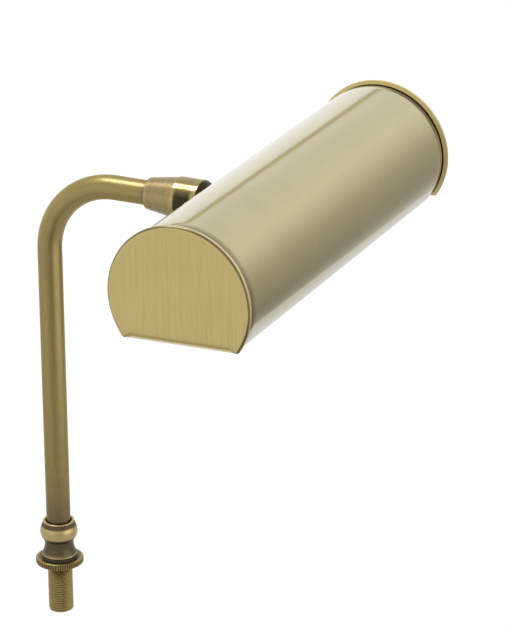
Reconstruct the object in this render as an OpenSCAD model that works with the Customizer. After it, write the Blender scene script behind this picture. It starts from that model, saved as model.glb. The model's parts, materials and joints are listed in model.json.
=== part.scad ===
// Lectern lamp: a bent brass tube on a threaded clamp stem, with a ball swivel that
// carries a long half-round shade, its lampholder and a tubular bulb.
// Millimetres. Origin at the centre of the stem's lower end, +Z up, arm along +X, shade along Y.

/* [Stem] */
// Outside diameter of the threaded nipple
nipple_d = 9.85; // [9.5:0.05:10.2]
// Cable bore through the nipple
nipple_bore_d = 6.5; // [5:0.1:7]
// Length of the nipple below the foot
nipple_drop = 24; // [18:0.5:60]
// Depth of the nipple in the neck
nipple_engage = 6; // [4:0.5:7]
// Radial cut of the thread run-out under the nut
runout_cut = 0.225; // [0.2:0.005:0.4]
// Outside diameter of the panel washer
washer_d = 14; // [13:0.1:18]
// Thickness of the panel washer
washer_t = 1; // [0.5:0.1:2]
// Outside diameter of the locknut
nut_d = 18.8; // [16:0.1:24]
// Thickness of the locknut
nut_t = 2.6; // [2:0.1:5]
// Number of ridges in the locknut's knurl
knurl_count = 60; // [40:1:80]
// Depth of the knurl
knurl_depth = 0.35; // [0.2:0.05:0.6]
// Height of the plain rim above and below the knurl
nut_rim = 0.3; // [0.2:0.05:0.6]

/* [Neck] */
// Height of the neck
neck_h = 14.8; // [14:0.1:20]
// Diameter of the foot bead
foot_d = 14; // [13.4:0.1:18]
// Radius of the foot bead
foot_bead = 0.5; // [0.3:0.05:0.6]
// Diameter of the waist
waist_d = 11.4; // [11:0.1:12]
// Height of the waist
waist_h = 4.9; // [4.5:0.1:5.5]
// Radius of the hollow at the waist
waist_hollow = 8.1; // [7:0.1:10]
// Diameter of the bulge
bulge_d = 14.7; // [14:0.1:16]
// Height of the bulge's widest point
bulge_h = 10.3; // [10:0.1:11]
// Radius of the bulge's side
bulge_r = 5.7; // [5.4:0.1:6]
// Diameter of the cup rim
rim_d = 12.4; // [12:0.1:13]
// Radius of the rim bead
rim_bead = 0.4; // [0.3:0.05:0.45]
// Radial gap between the cup rim and the tube
rim_gap = 0.55; // [0.3:0.05:0.7]
// Depth of the cup around the tube
rim_depth = 3.5; // [2:0.1:4.5]
// Depth of the tube in the neck
tube_engage = 6.8; // [5:0.1:7.5]

/* [Arm] */
// Outside diameter of the tube
tube_d = 9.5; // [9:0.05:9.8]
// Wall of the tube
tube_wall = 1; // [0.6:0.05:1.4]
// Radius of the bend on the tube's centre line
bend_r = 29; // [15:0.5:40]
// Height of the arm's centre line over the foot
arm_h = 158; // [80:0.5:260]
// Reach from the post to the centre of the ball
arm_reach = 63; // [55:0.5:160]

/* [Swivel] */
// Diameter of the ball
ball_d = 12.4; // [12:0.1:12.8]
// Outside diameter of the swivel cap
cap_d = 16.4; // [16:0.1:18]
// Ball centre to the joint between the sleeve and the cap
joint_back = 7; // [6.5:0.1:8]
// Ball centre to the shoulder of the cap's rounded nose
shoulder_fwd = 2; // [1:0.1:2.5]
// Ball centre to the end of the nose
nose_fwd = 5.5; // [5:0.05:5.8]
// Radius of the rounded nose
nose_round = 4.17; // [4:0.01:5]
// Ball centre to the narrowest part of the mouth
mouth_fwd = 4; // [3.6:0.05:4.3]
// Diameter of the flared mouth at the end of the nose
mouth_d = 11; // [10.4:0.1:11.6]
// Length of the sleeve's cone
cone_len = 12.4; // [11:0.1:20]
// Small diameter of the sleeve's cone
cone_small_d = 12.2; // [11.6:0.1:13]
// Large diameter of the sleeve's cone
cone_large_d = 16; // [15.6:0.1:18]
// Chamfer where the tube enters the sleeve
cone_chamfer = 0.4; // [0.2:0.05:0.6]
// Depth of the tube in the sleeve
sleeve_engage = 8.4; // [6:0.1:9]
// Diameter of the spigot that the cap screws on to
spigot_d = 14.4; // [14:0.1:14.8]
// Length of the spigot
spigot_len = 3.5; // [2.5:0.1:3.6]
// Ball centre to the web between the tube and the spring
web_back = 9.5; // [9.2:0.1:10]
// Lead hole through the web
web_hole_d = 6; // [4:0.1:7]
// Ball centre to the back of the friction cup
cup_back = 8.2; // [7.6:0.1:8.6]
// Ball centre to the front of the friction cup
cup_front = 3.2; // [2.6:0.1:4]
// Lead hole through the friction cup
cup_hole_d = 4; // [3:0.1:5]
// Thickness of the disc spring
spring_t = 0.5; // [0.3:0.05:0.6]
// Hole through the disc spring
spring_hole_d = 6.4; // [5:0.1:8]
// Diameter of the stud's neck
stud_neck_d = 4.6; // [4.4:0.1:4.8]
// Diameter of the stud's thread
stud_d = 5; // [4.8:0.1:6]
// Lead bore through the stud
stud_bore_d = 2.8; // [2:0.1:3]
// Ball centre to the back of the stud's collar
collar_fwd = 8.2; // [8:0.05:8.4]
// Thickness of the stud's collar
collar_t = 0.7; // [0.5:0.05:0.8]
// Diameter of the stud's collar
collar_d = 9; // [8:0.1:10]
// Diameter of the saddle washer
saddle_d = 10.4; // [9:0.1:12]

/* [Shade] */
// Length of the shade over its end caps
shade_len = 177.3; // [150:0.1:260]
// Outside diameter of the shell
shade_d = 53.5; // [50:0.1:70]
// Sheet thickness of the shell and the caps
sheet = 0.8; // [0.6:0.05:1.2]
// Ball centre to the back of the shell
standoff = 10.13; // [10:0.01:12]
// Droop of the stud below the arm at rest
droop = 3.73; // [0:0.01:8]
// Shade axis to the edge of the open underside
underside_drop = 16.5; // [12:0.1:19]
// Lean of the underside against the stud
underside_lean = 5.13; // [0:0.01:8]
// Length over which each end of the shell draws in
end_taper = 7; // [4:0.1:10]
// Amount that each end of the shell draws in
end_draw = 1; // [0.5:0.05:1.2]
// Outside diameter of the end caps
end_cap_d = 55.8; // [55.4:0.1:72]
// Depth of the end caps' rims
end_cap_depth = 1.6; // [1.5:0.1:4]
// Rounding on the end caps' edges
end_cap_round = 1.1; // [0.9:0.05:1.5]

/* [Lampholder] */
// Height of the lampholder's axis over the shade's axis
holder_rise = 3; // [0:0.1:5]
// Distance of the lampholder's back from the middle of the shade
holder_back = 70; // [68:0.5:76]
// Length of the lampholder
holder_len = 36; // [34:0.1:40]
// Diameter of the lampholder
holder_d = 24; // [22:0.1:26]
// Diameter of the lampholder's socket
socket_d = 17.8; // [16:0.1:18.4]
// Depth of the lampholder's socket
socket_depth = 26; // [24:0.1:27]
// Wall of the screw shell
shell_wall = 0.5; // [0.3:0.05:0.6]
// Width of the bracket strip
strip_w = 10; // [8:0.1:14]
// Thickness of the bracket strip
strip_t = 1.5; // [1:0.1:2]
// Height of the bracket's upright plate
plate_h = 18; // [16:0.1:22]
// Distance of each fixing screw from the lampholder's axis
screw_offset = 7; // [6:0.1:8]
// Diameter of the fixing screws
screw_d = 2.9; // [2.5:0.1:3]
// Length of the fixing screws in the lampholder
screw_engage = 6; // [4:0.1:7]
// Diameter of the terminal screws
terminal_d = 2.4; // [2:0.1:3]
// Diameter of the key's stem
key_stem_d = 3.2; // [2.6:0.1:4]
// Width of the key's paddle
key_w = 13; // [11:0.1:14]
// Height of the key's paddle
key_h = 8; // [6:0.1:9]
// Thickness of the key's paddle
key_t = 2.6; // [2:0.1:3]
// Free length of stem between the lampholder and the paddle
key_stem_free = 4; // [3:0.1:8]

/* [Bulb] */
// Diameter of the bulb
bulb_d = 25; // [22:0.1:27]
// Length of the bulb past the lampholder's mouth
bulb_len = 99; // [80:0.5:110]
// Wall of the bulb's glass
glass_wall = 0.8; // [0.6:0.05:1]
// Length of the bulb's shoulder
bulb_shoulder = 8; // [6:0.1:12]
// Length of the bulb's neck outside the lampholder
bulb_neck = 4; // [2:0.1:6]
// Length of the bulb's neck in its metal cap
bulb_seat = 9; // [6:0.1:14]
// Wall of the bulb's metal cap
bulb_cap_wall = 0.4; // [0.3:0.05:0.6]
// Diameter of the glass stem
bulb_stem_d = 6; // [5:0.1:8]
// Length of the glass stem
bulb_stem_len = 26; // [20:0.5:34]
// Length of the filament
filament_len = 54; // [30:0.5:60]
// Diameter of the filament coil
filament_d = 1; // [0.6:0.1:1.4]

/* [Hidden] */
$fn = 96;

// Clearances: a seat that is screwed, pressed or cemented, a face, a running fit, a free fit and a screw hole
seat_gap = 0.02;
face_gap = 0.05;
run_gap = 0.08;
free_gap = 0.33;
hole_gap = 0.1;
// Overrun of a cut past the face that it opens
over = 1;

// Finishes
old_brass = "#8a7645";
bright_brass = "#b5a46e";
steel = "#9a9a98";
dark_fibre = "#2b2724";
porcelain = "#e9e4d8";
glass = "#dfe8ea80";

// Stem, from the bottom up
nipple_r = nipple_d / 2;
runout_r = nipple_r - runout_cut;
foot_z = nipple_drop;
washer_z = foot_z - washer_t;
nut_z = washer_z - nut_t;
thread_short = 0.2;
thread_top = nut_z - thread_short;
nipple_top = foot_z + nipple_engage;
washer_bore_r = nipple_r + free_gap;
nut_bore_r = nipple_r + run_gap;

// Neck and tube
tube_r = tube_d / 2;
tube_bore_r = tube_r - tube_wall;
tube_seat_z = foot_z + neck_h - tube_engage;
passage_step = 0.25;
passage_r = nipple_bore_d / 2 + passage_step;
arm_z = foot_z + arm_h;

// Swivel, measured from the ball's centre along its axis
ball_r = ball_d / 2;
seat_r = ball_r + run_gap;
bore_r = seat_r + run_gap;
spigot_r = spigot_d / 2;
tube_end_back = joint_back + cone_len - sleeve_engage;
tube_end_x = arm_reach - tube_end_back - face_gap;

// Shade, in its own frame: local X leaves the ball along the stud, Y runs along the shade
shade_r = shade_d / 2;
shade_in_r = shade_r - sheet;
shade_x = standoff + shade_r;
shade_half = shade_len / 2;
shell_half = shade_half - sheet - hole_gap;
end_cap_r = end_cap_d / 2;
stud_r = stud_d / 2;
strip_x = -sqrt(pow(shade_in_r, 2) - pow(strip_w / 2, 2)) + face_gap;
strip_front = shade_x + strip_x + strip_t;
lock_washer_t = 0.6;
lock_washer_fwd = strip_front + seat_gap;
stud_nut_fwd = lock_washer_fwd + lock_washer_t + seat_gap;
stud_nut_t = 3;
stud_end = stud_nut_fwd + stud_nut_t + over;
stud_nut_share = 1.6;
stud_nut_af = stud_nut_share * stud_d;

// Lampholder and bulb, along Y
holder_r = holder_d / 2;
holder_mouth = holder_back - holder_len;
socket_r = socket_d / 2;
socket_floor = holder_mouth + socket_depth;
plate_y = holder_back + face_gap;
screw_y = plate_y + strip_t + seat_gap;
head_share = 0.9;
screw_head_r = head_share * screw_d;
screw_head_t = 1.8;
screw_slot_w = 0.6;
key_y = (socket_floor + holder_back) / 2;
key_depth = 7;
terminal_x = 5;
terminal_cut = 1.8;
terminal_flat = holder_r - terminal_cut;
terminal_head_r = head_share * terminal_d;
terminal_slot_w = 0.5;
terminal_head_t = 1.6;
terminal_depth = 3.2;
screw_shell_r = socket_r - seat_gap;
bulb_cap_r = screw_shell_r - shell_wall - run_gap;
bulb_cap_in_r = bulb_cap_r - bulb_cap_wall;
bulb_neck_r = bulb_cap_in_r - seat_gap;
pip_len = 1.1;
contact_t = 0.8;
contact_r = 3;
bulb_tip_y = socket_floor - 2 * face_gap - contact_t - pip_len;
bulb_contact_len = 3.4;
bulb_cap_end = bulb_tip_y - bulb_contact_len + bulb_cap_wall;
bulb_cap_mouth = holder_mouth - bulb_neck / 2;
bulb_r = bulb_d / 2;
bulb_top = bulb_cap_mouth + bulb_seat;
bulb_shoulder_y = holder_mouth - bulb_neck;
bulb_body_y = bulb_shoulder_y - bulb_shoulder;
bulb_dome_y = holder_mouth - bulb_len + bulb_r;
bulb_seal_t = 1.5;
bulb_stem_y = bulb_top - bulb_seal_t - seat_gap;
bulb_stem_end = bulb_stem_y - bulb_stem_len;
filament_offset = bulb_stem_d / 2 - filament_d;

// Places children with +Z along the arm, from the centre of the ball
module at_swivel() {
    translate([arm_reach, 0, arm_z]) rotate([0, 90, 0]) children();
}

// Places children with +Z along the ball stud, from the centre of the ball
module at_stud() {
    translate([arm_reach, 0, arm_z]) rotate([0, 90 + droop, 0]) children();
}

// Places children in the shade's frame, on its axis
module at_shade() {
    translate([arm_reach, 0, arm_z]) rotate([0, droop, 0]) translate([shade_x, 0, 0]) children();
}

// Turns a shape that stands on Z so that it runs along Y
module along_y() {
    rotate([-90, 0, 0]) children();
}

// Places children on the lampholder's axis, with +Z along Y and -Y upwards
module at_holder() {
    at_shade() translate([0, 0, holder_rise]) along_y() children();
}

// A tube or ring that stands on Z
module ring(outer_r, inner_r, h) {
    difference() {
        cylinder(r = outer_r, h = h);
        translate([0, 0, -over]) cylinder(r = inner_r, h = h + 2 * over);
    }
}

module threaded_nipple() {
    color(old_brass) difference() {
        union() {
            cylinder(r = nipple_r, h = thread_top);
            cylinder(r = runout_r, h = nipple_top);
        }
        translate([0, 0, -over]) cylinder(d = nipple_bore_d, h = nipple_top + 2 * over);
    }
}

module panel_washer() {
    color(dark_fibre) translate([0, 0, washer_z]) ring(washer_d / 2, washer_bore_r, washer_t);
}

// Straight-knurled ring nut with a narrow plain rim at both faces
module knurled_locknut() {
    ridge_r = nut_d / 2;
    root_r = ridge_r - knurl_depth;
    step = 180 / knurl_count;
    ridges = [
        for (i = [0 : 2 * knurl_count - 1])
        let (r = i % 2 == 0 ? ridge_r : root_r)
        [r * cos(i * step), r * sin(i * step)]
    ];
    color(old_brass) translate([0, 0, nut_z]) difference() {
        union() {
            translate([0, 0, nut_rim]) linear_extrude(nut_t - 2 * nut_rim) polygon(ridges);
            cylinder(r = root_r - hole_gap, h = nut_t);
        }
        translate([0, 0, -over]) cylinder(r = nut_bore_r, h = nut_t + 2 * over);
    }
}

// Outline of the turned neck from its foot bead to its cup rim
module neck_outline() {
    rim_z = neck_h - rim_bead;
    bulge_in = bulge_d / 2 - bulge_r;
    translate([foot_d / 2 - foot_bead, foot_bead]) circle(foot_bead);
    square([foot_d / 2 - foot_bead, 2 * foot_bead]);
    difference() {
        square([foot_d / 2 - foot_bead, bulge_h]);
        translate([waist_d / 2 + waist_hollow, waist_h]) circle(waist_hollow);
    }
    intersection() {
        translate([bulge_in, bulge_h]) circle(bulge_r);
        translate([0, waist_h]) square([bulge_d, rim_z - waist_h]);
    }
    translate([rim_d / 2 - rim_bead, rim_z]) circle(rim_bead);
    translate([0, rim_z - rim_bead]) square([rim_d / 2 - rim_bead, 2 * rim_bead]);
}

module neck() {
    color(old_brass) translate([0, 0, foot_z]) difference() {
        rotate_extrude() neck_outline();
        translate([0, 0, -over]) cylinder(r = runout_r + seat_gap, h = nipple_engage + face_gap + over);
        cylinder(r = passage_r, h = neck_h);
        translate([0, 0, neck_h - tube_engage]) cylinder(r = tube_r + seat_gap, h = neck_h);
        translate([0, 0, neck_h - rim_depth]) cylinder(r = tube_r + rim_gap, h = neck_h);
    }
}

// The arm's centre line as a solid rod, from the centre of its bend: post, quarter bend and level arm
module arm_rod(r) {
    post_len = arm_z - bend_r - tube_seat_z - face_gap;
    arm_len = tube_end_x - bend_r;
    translate([bend_r, 0, arm_z - bend_r]) {
        translate([-bend_r, 0, 0]) mirror([0, 0, 1]) cylinder(r = r, h = post_len);
        rotate([90, 0, 0]) rotate(90) rotate_extrude(angle = 90) translate([bend_r, 0]) circle(r);
        translate([0, 0, bend_r]) rotate([0, 90, 0]) cylinder(r = r, h = arm_len);
    }
}

module arm_tube() {
    color(old_brass) difference() {
        arm_rod(tube_r);
        arm_rod(tube_bore_r);
    }
}

// Sleeve on the end of the arm: cone, spigot, tube seat, web and spring chamber
module swivel_sleeve() {
    back = joint_back + cone_len;
    tube_seat_r = tube_r + seat_gap;
    color(old_brass) at_swivel() difference() {
        union() {
            translate([0, 0, -back]) cylinder(d1 = cone_small_d, d2 = cone_large_d, h = cone_len);
            translate([0, 0, -joint_back - over]) cylinder(r = spigot_r, h = spigot_len + over);
        }
        translate([0, 0, -back - over]) cylinder(r = tube_seat_r, h = sleeve_engage + over);
        translate([0, 0, -back])
            cylinder(r1 = tube_seat_r + cone_chamfer, r2 = tube_seat_r, h = cone_chamfer);
        translate([0, 0, -back]) cylinder(d = web_hole_d, h = back);
        translate([0, 0, -web_back]) cylinder(r = bore_r, h = web_back);
    }
}

// Turned cap with a rounded nose, a ball seat and a flared mouth
module swivel_cap() {
    cap_r = cap_d / 2;
    mouth_r = sqrt(pow(seat_r, 2) - pow(mouth_fwd, 2));
    color(old_brass) at_swivel() difference() {
        rotate_extrude() {
            translate([0, -joint_back + seat_gap]) square([cap_r, joint_back + shoulder_fwd - seat_gap]);
            intersection() {
                translate([cap_r - nose_round, shoulder_fwd]) circle(nose_round);
                square([cap_r, nose_fwd]);
            }
            square([cap_r - nose_round, nose_fwd]);
        }
        translate([0, 0, -joint_back - over])
            cylinder(r = spigot_r + face_gap, h = spigot_len + face_gap + over);
        translate([0, 0, -joint_back]) cylinder(r = bore_r, h = joint_back);
        sphere(seat_r);
        translate([0, 0, mouth_fwd])
            cylinder(r1 = mouth_r, r2 = mouth_d / 2, h = nose_fwd - mouth_fwd);
        translate([0, 0, mouth_fwd - face_gap]) cylinder(r = mouth_r, h = nose_fwd);
    }
}

// Coned disc spring between the sleeve's web and the friction cup
module disc_spring() {
    low = -web_back + face_gap;
    high = -cup_back - face_gap;
    inner_r = spring_hole_d / 2;
    outer_r = bore_r - free_gap;
    color(steel) at_swivel() rotate_extrude() polygon([
        [inner_r, high - spring_t], [outer_r, low], [outer_r, low + spring_t], [inner_r, high]
    ]);
}

module friction_cup() {
    color(dark_fibre) at_swivel() difference() {
        translate([0, 0, -cup_back]) cylinder(r = bore_r - run_gap, h = cup_back - cup_front);
        sphere(seat_r);
        translate([0, 0, -cup_back - over]) cylinder(d = cup_hole_d, h = cup_back);
    }
}

// Ball, neck, collar and hollow threaded shank
module ball_stud() {
    flat_share = 0.78;
    flat_back = flat_share * ball_r;
    color(steel) at_stud() difference() {
        union() {
            intersection() {
                sphere(ball_r);
                translate([-ball_d, -ball_d, -flat_back]) cube([2 * ball_d, 2 * ball_d, 2 * ball_d]);
            }
            cylinder(d = stud_neck_d, h = collar_fwd + collar_t);
            translate([0, 0, collar_fwd]) cylinder(d = collar_d, h = collar_t);
            translate([0, 0, collar_fwd]) cylinder(r = stud_r, h = stud_end - collar_fwd);
        }
        translate([0, 0, -ball_d]) cylinder(d = stud_bore_d, h = ball_d + stud_end + over);
    }
}

// Turned washer that is hollowed to the round back of the shade
module saddle_washer() {
    base = collar_fwd + collar_t + seat_gap;
    color(old_brass) difference() {
        at_stud() translate([0, 0, base]) ring(saddle_d / 2, stud_r + hole_gap, shade_x - base);
        at_shade() along_y() translate([0, 0, -saddle_d]) cylinder(r = shade_r + face_gap, h = 2 * saddle_d);
    }
}

module stud_lock_washer() {
    teeth = 8;
    outer_share = 0.92;
    notch_share = 0.8;
    outer_r = outer_share * stud_d;
    notch_w = 1.4;
    color(steel) at_stud() translate([0, 0, lock_washer_fwd]) difference() {
        ring(outer_r, stud_r + hole_gap, lock_washer_t);
        for (i = [0 : teeth - 1]) rotate(i * 360 / teeth)
            translate([notch_share * outer_r, -notch_w / 2, -over])
                cube([outer_r, notch_w, lock_washer_t + 2 * over]);
    }
}

module stud_nut() {
    color(steel) at_stud() translate([0, 0, stud_nut_fwd]) difference() {
        cylinder(r = stud_nut_af / sqrt(3), h = stud_nut_t, $fn = 6);
        translate([0, 0, -over]) cylinder(r = stud_r + seat_gap, h = stud_nut_t + 2 * over);
    }
}

// Everything below the open underside, for cutting the shell and the caps
module underside_cut() {
    size = 2 * shade_len;
    at_shade() rotate([0, -underside_lean, 0])
        translate([-size / 2, -size / 2, -underside_drop - size]) cube(size);
}

// Radius of the shell's outside at a distance from the middle of the shade
function shell_r(s) =
    let (past = max(0, abs(s) - (shell_half - end_taper)))
    shade_r - end_draw * pow(past / end_taper, 2);

// Rolled sheet, drawn in a little at both ends and open underneath
module shade_shell() {
    steps = 6;
    ends = [for (i = [0 : steps]) shell_half - end_taper + i * end_taper / steps];
    stations = concat([for (i = [steps : -1 : 0]) -ends[i]], ends);
    last = len(stations) - 1;
    outline = concat(
        [for (s = stations) [shell_r(s), s]],
        [for (i = [last : -1 : 0]) [shell_r(stations[i]) - sheet, stations[i]]]
    );
    color(bright_brass) difference() {
        at_shade() along_y() rotate_extrude() polygon(outline);
        underside_cut();
        at_stud() cylinder(r = stud_r + hole_gap, h = shade_x);
    }
}

// Section of an end cap's rim and face, with a rounded edge, for a face at height zero
module end_cap_section(r, edge) {
    square([r - edge, end_cap_depth]);
    translate([0, edge]) square([r, end_cap_depth - edge]);
    translate([r - edge, edge]) circle(edge);
}

// Section of the lip folded in along an end cap's straight edge, from the face inwards
module folded_edge() {
    difference() {
        union() {
            intersection() {
                translate([end_cap_round, end_cap_round]) circle(end_cap_round);
                square(end_cap_round);
            }
            translate([end_cap_round, 0]) square([end_cap_depth - end_cap_round, sheet]);
            translate([0, end_cap_round]) square([sheet, over]);
        }
        translate([end_cap_round, end_cap_round]) circle(end_cap_round - sheet);
    }
}

// Pressed cap: face, rim and a lip folded in along its straight edge; side is -1 near and 1 far
module end_cap(side) {
    lip_r = shell_r(shell_half) - sheet - free_gap;
    lip_half = sqrt(pow(lip_r, 2) - pow(underside_drop, 2));
    difference() {
        at_shade() rotate([side * 90, 0, 0]) translate([0, 0, -shade_half]) difference() {
            rotate_extrude() end_cap_section(end_cap_r, end_cap_round);
            translate([0, 0, sheet])
                rotate_extrude() end_cap_section(end_cap_r - sheet, end_cap_round - sheet);
        }
        underside_cut();
        at_shade() rotate([0, -underside_lean, 0])
            translate([sheet - lip_half, -shade_len, -underside_drop - over])
            cube([2 * (lip_half - sheet), 2 * shade_len, end_cap_round + over]);
    }
    at_shade() rotate([0, -underside_lean, 0]) mirror([0, side < 0 ? 0 : 1, 0])
        translate([-lip_half, -shade_half, -underside_drop])
        rotate([90, 0, 90]) linear_extrude(2 * lip_half) folded_edge();
}

module near_end_cap() {
    color(bright_brass) end_cap(-1);
}

module far_end_cap() {
    color(bright_brass) end_cap(1);
}

// Bent strip along the back of the shade with an upright plate for the lampholder
module holder_bracket() {
    tail = strip_w / 2 + stud_d / 2;
    plate_top = holder_rise + plate_h / 2;
    plate_back = -sqrt(pow(shade_in_r, 2) - pow(plate_top, 2)) + over;
    plate_front = screw_offset + 2 * screw_d;
    color(steel) difference() {
        at_shade() {
            translate([strip_x, -tail, -strip_w / 2]) cube([strip_t, tail + plate_y + strip_t, strip_w]);
            translate([strip_x, plate_y, -strip_w / 2]) cube([plate_front - strip_x, strip_t, strip_w]);
            translate([plate_back, plate_y, plate_top - plate_h])
                cube([plate_front - plate_back, strip_t, plate_h]);
        }
        at_stud() cylinder(r = stud_r + hole_gap, h = shade_x);
        for (side = [-1, 1]) at_holder() translate([side * screw_offset, 0, holder_back])
            cylinder(d = screw_d + 2 * hole_gap, h = 2 * strip_t);
    }
}

module holder_body() {
    key_top = holder_r - key_depth;
    color(porcelain) at_holder() difference() {
        translate([0, 0, holder_mouth]) cylinder(r = holder_r, h = holder_len);
        translate([0, 0, holder_mouth - over]) cylinder(r = socket_r, h = socket_depth + over);
        for (side = [-1, 1]) translate([side * screw_offset, 0, holder_back - screw_engage - face_gap])
            cylinder(d = screw_d + 2 * seat_gap, h = screw_engage + over);
        translate([-holder_r, -holder_d, socket_floor])
            cube([holder_d, holder_d - terminal_flat, holder_len]);
        for (side = [-1, 1]) translate([side * terminal_x, -terminal_flat + terminal_depth + face_gap, key_y])
            rotate([90, 0, 0]) cylinder(d = terminal_d + 2 * seat_gap, h = holder_r);
        translate([0, key_top, key_y]) rotate([-90, 0, 0])
            cylinder(d = key_stem_d + 2 * run_gap, h = holder_r);
    }
}

// Thin metal sleeve with a turned-in floor, in the lampholder's socket
module screw_shell() {
    mouth_recess = 0.5;
    floor_hole_gap = 1;
    shell_mouth = holder_mouth + mouth_recess;
    shell_floor = socket_floor - face_gap;
    color(old_brass) at_holder() difference() {
        translate([0, 0, shell_mouth]) cylinder(r = screw_shell_r, h = shell_floor - shell_mouth);
        translate([0, 0, shell_mouth - over])
            cylinder(r = screw_shell_r - shell_wall, h = shell_floor - shell_mouth - shell_wall + over);
        translate([0, 0, shell_mouth]) cylinder(r = contact_r + floor_hole_gap, h = holder_len);
    }
}

module centre_contact() {
    base = socket_floor - face_gap - contact_t;
    color(old_brass) at_holder() {
        translate([0, 0, base]) cylinder(r = contact_r, h = contact_t);
        translate([0, 0, base - pip_len]) cylinder(r = contact_r / 2, h = pip_len);
    }
}

// Two slotted screws from the bracket into the lampholder's back
module holder_screws() {
    for (side = [-1, 1]) color(steel) at_holder() translate([side * screw_offset, 0, screw_y]) difference() {
        union() {
            cylinder(r = screw_head_r, h = screw_head_t);
            translate([0, 0, -screw_engage - strip_t])
                cylinder(d = screw_d, h = screw_engage + strip_t + screw_head_t);
        }
        translate([-screw_d, -screw_slot_w / 2, screw_head_t / 2])
            cube([2 * screw_d, screw_slot_w, screw_head_t]);
    }
}

// Two slotted terminal screws on the lampholder's flat
module terminal_screws() {
    for (side = [-1, 1]) color(old_brass) at_holder()
        translate([side * terminal_x, -terminal_flat - seat_gap, key_y]) rotate([90, 0, 0]) difference() {
            union() {
                cylinder(r = terminal_head_r, h = terminal_head_t);
                translate([0, 0, -terminal_depth])
                    cylinder(d = terminal_d, h = terminal_depth + terminal_head_t);
            }
            translate([-terminal_d, -terminal_slot_w / 2, terminal_head_t / 2])
                cube([2 * terminal_d, terminal_slot_w, terminal_head_t]);
        }
}

// Turn key: a round stem and a flat paddle with round ends, below the lampholder
module switch_key() {
    stem_top = holder_r - key_depth + hole_gap;
    paddle_top = holder_r + key_stem_free;
    end_r = key_h / 2;
    color(dark_fibre) at_holder() translate([0, 0, key_y]) {
        translate([0, stem_top, 0]) rotate([-90, 0, 0])
            cylinder(d = key_stem_d, h = paddle_top + end_r - stem_top);
        translate([0, paddle_top + end_r, -key_t / 2]) linear_extrude(key_t) {
            square([key_w - key_h, key_h], center = true);
            for (side = [-1, 1]) translate([side * (key_w - key_h) / 2, 0]) circle(end_r);
        }
    }
}

module bulb_cap() {
    color(old_brass) at_holder() difference() {
        translate([0, 0, bulb_cap_mouth]) cylinder(r = bulb_cap_r, h = bulb_cap_end - bulb_cap_mouth);
        translate([0, 0, bulb_cap_mouth - over])
            cylinder(r = bulb_cap_in_r, h = bulb_cap_end - bulb_cap_mouth - bulb_cap_wall + over);
        translate([0, 0, bulb_cap_mouth]) cylinder(r = contact_r + seat_gap, h = holder_len);
    }
}

module bulb_contact() {
    tip_share = 0.8;
    color(steel) at_holder() translate([0, 0, bulb_tip_y - bulb_contact_len])
        cylinder(r1 = contact_r, r2 = tip_share * contact_r, h = bulb_contact_len);
}

// The bulb as a solid, drawn in by a wall
module bulb_form(wall, top) {
    neck_r = bulb_neck_r - wall;
    body_r = bulb_r - wall;
    translate([0, 0, bulb_shoulder_y]) cylinder(r = neck_r, h = top - bulb_shoulder_y);
    translate([0, 0, bulb_body_y]) cylinder(r1 = body_r, r2 = neck_r, h = bulb_shoulder);
    translate([0, 0, bulb_dome_y]) cylinder(r = body_r, h = bulb_body_y - bulb_dome_y);
    translate([0, 0, bulb_dome_y]) sphere(body_r);
}

module bulb_glass() {
    color(glass) at_holder() difference() {
        bulb_form(0, bulb_top);
        bulb_form(glass_wall, bulb_top - bulb_seal_t);
    }
}

module bulb_stem() {
    color(glass) at_holder() translate([0, 0, bulb_stem_end]) cylinder(d = bulb_stem_d, h = bulb_stem_len);
}

// Two long coils from the stem, joined at the far end
module bulb_filament() {
    far = bulb_stem_end - seat_gap - filament_len;
    color(steel) at_holder() translate([0, 0, far]) {
        for (side = [-1, 1]) translate([side * filament_offset, 0, 0]) {
            cylinder(d = filament_d, h = filament_len);
            sphere(d = filament_d);
        }
        translate([-filament_offset, 0, 0]) rotate([0, 90, 0])
            cylinder(d = filament_d, h = 2 * filament_offset);
    }
}

threaded_nipple();
panel_washer();
knurled_locknut();
neck();
arm_tube();
swivel_sleeve();
swivel_cap();
disc_spring();
friction_cup();
ball_stud();
saddle_washer();
stud_lock_washer();
stud_nut();
shade_shell();
near_end_cap();
far_end_cap();
holder_bracket();
holder_body();
screw_shell();
centre_contact();
holder_screws();
terminal_screws();
switch_key();
bulb_cap();
bulb_contact();
bulb_glass();
bulb_stem();
bulb_filament();
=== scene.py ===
"""Looks of the lectern lamp: smooth brass pieces, bulb, finishes, studio and camera around its CAD frame.

Sizes are millimetres in the row frame: origin at the stem's lower end, +Z up, arm along +X, shade along Y.
"""

from __future__ import annotations

import json
import logging
import math
from dataclasses import dataclass
from enum import Enum
from typing import Any, Sequence

import bmesh
import bpy
import numpy as np
from mathutils import Matrix, Vector

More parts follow.
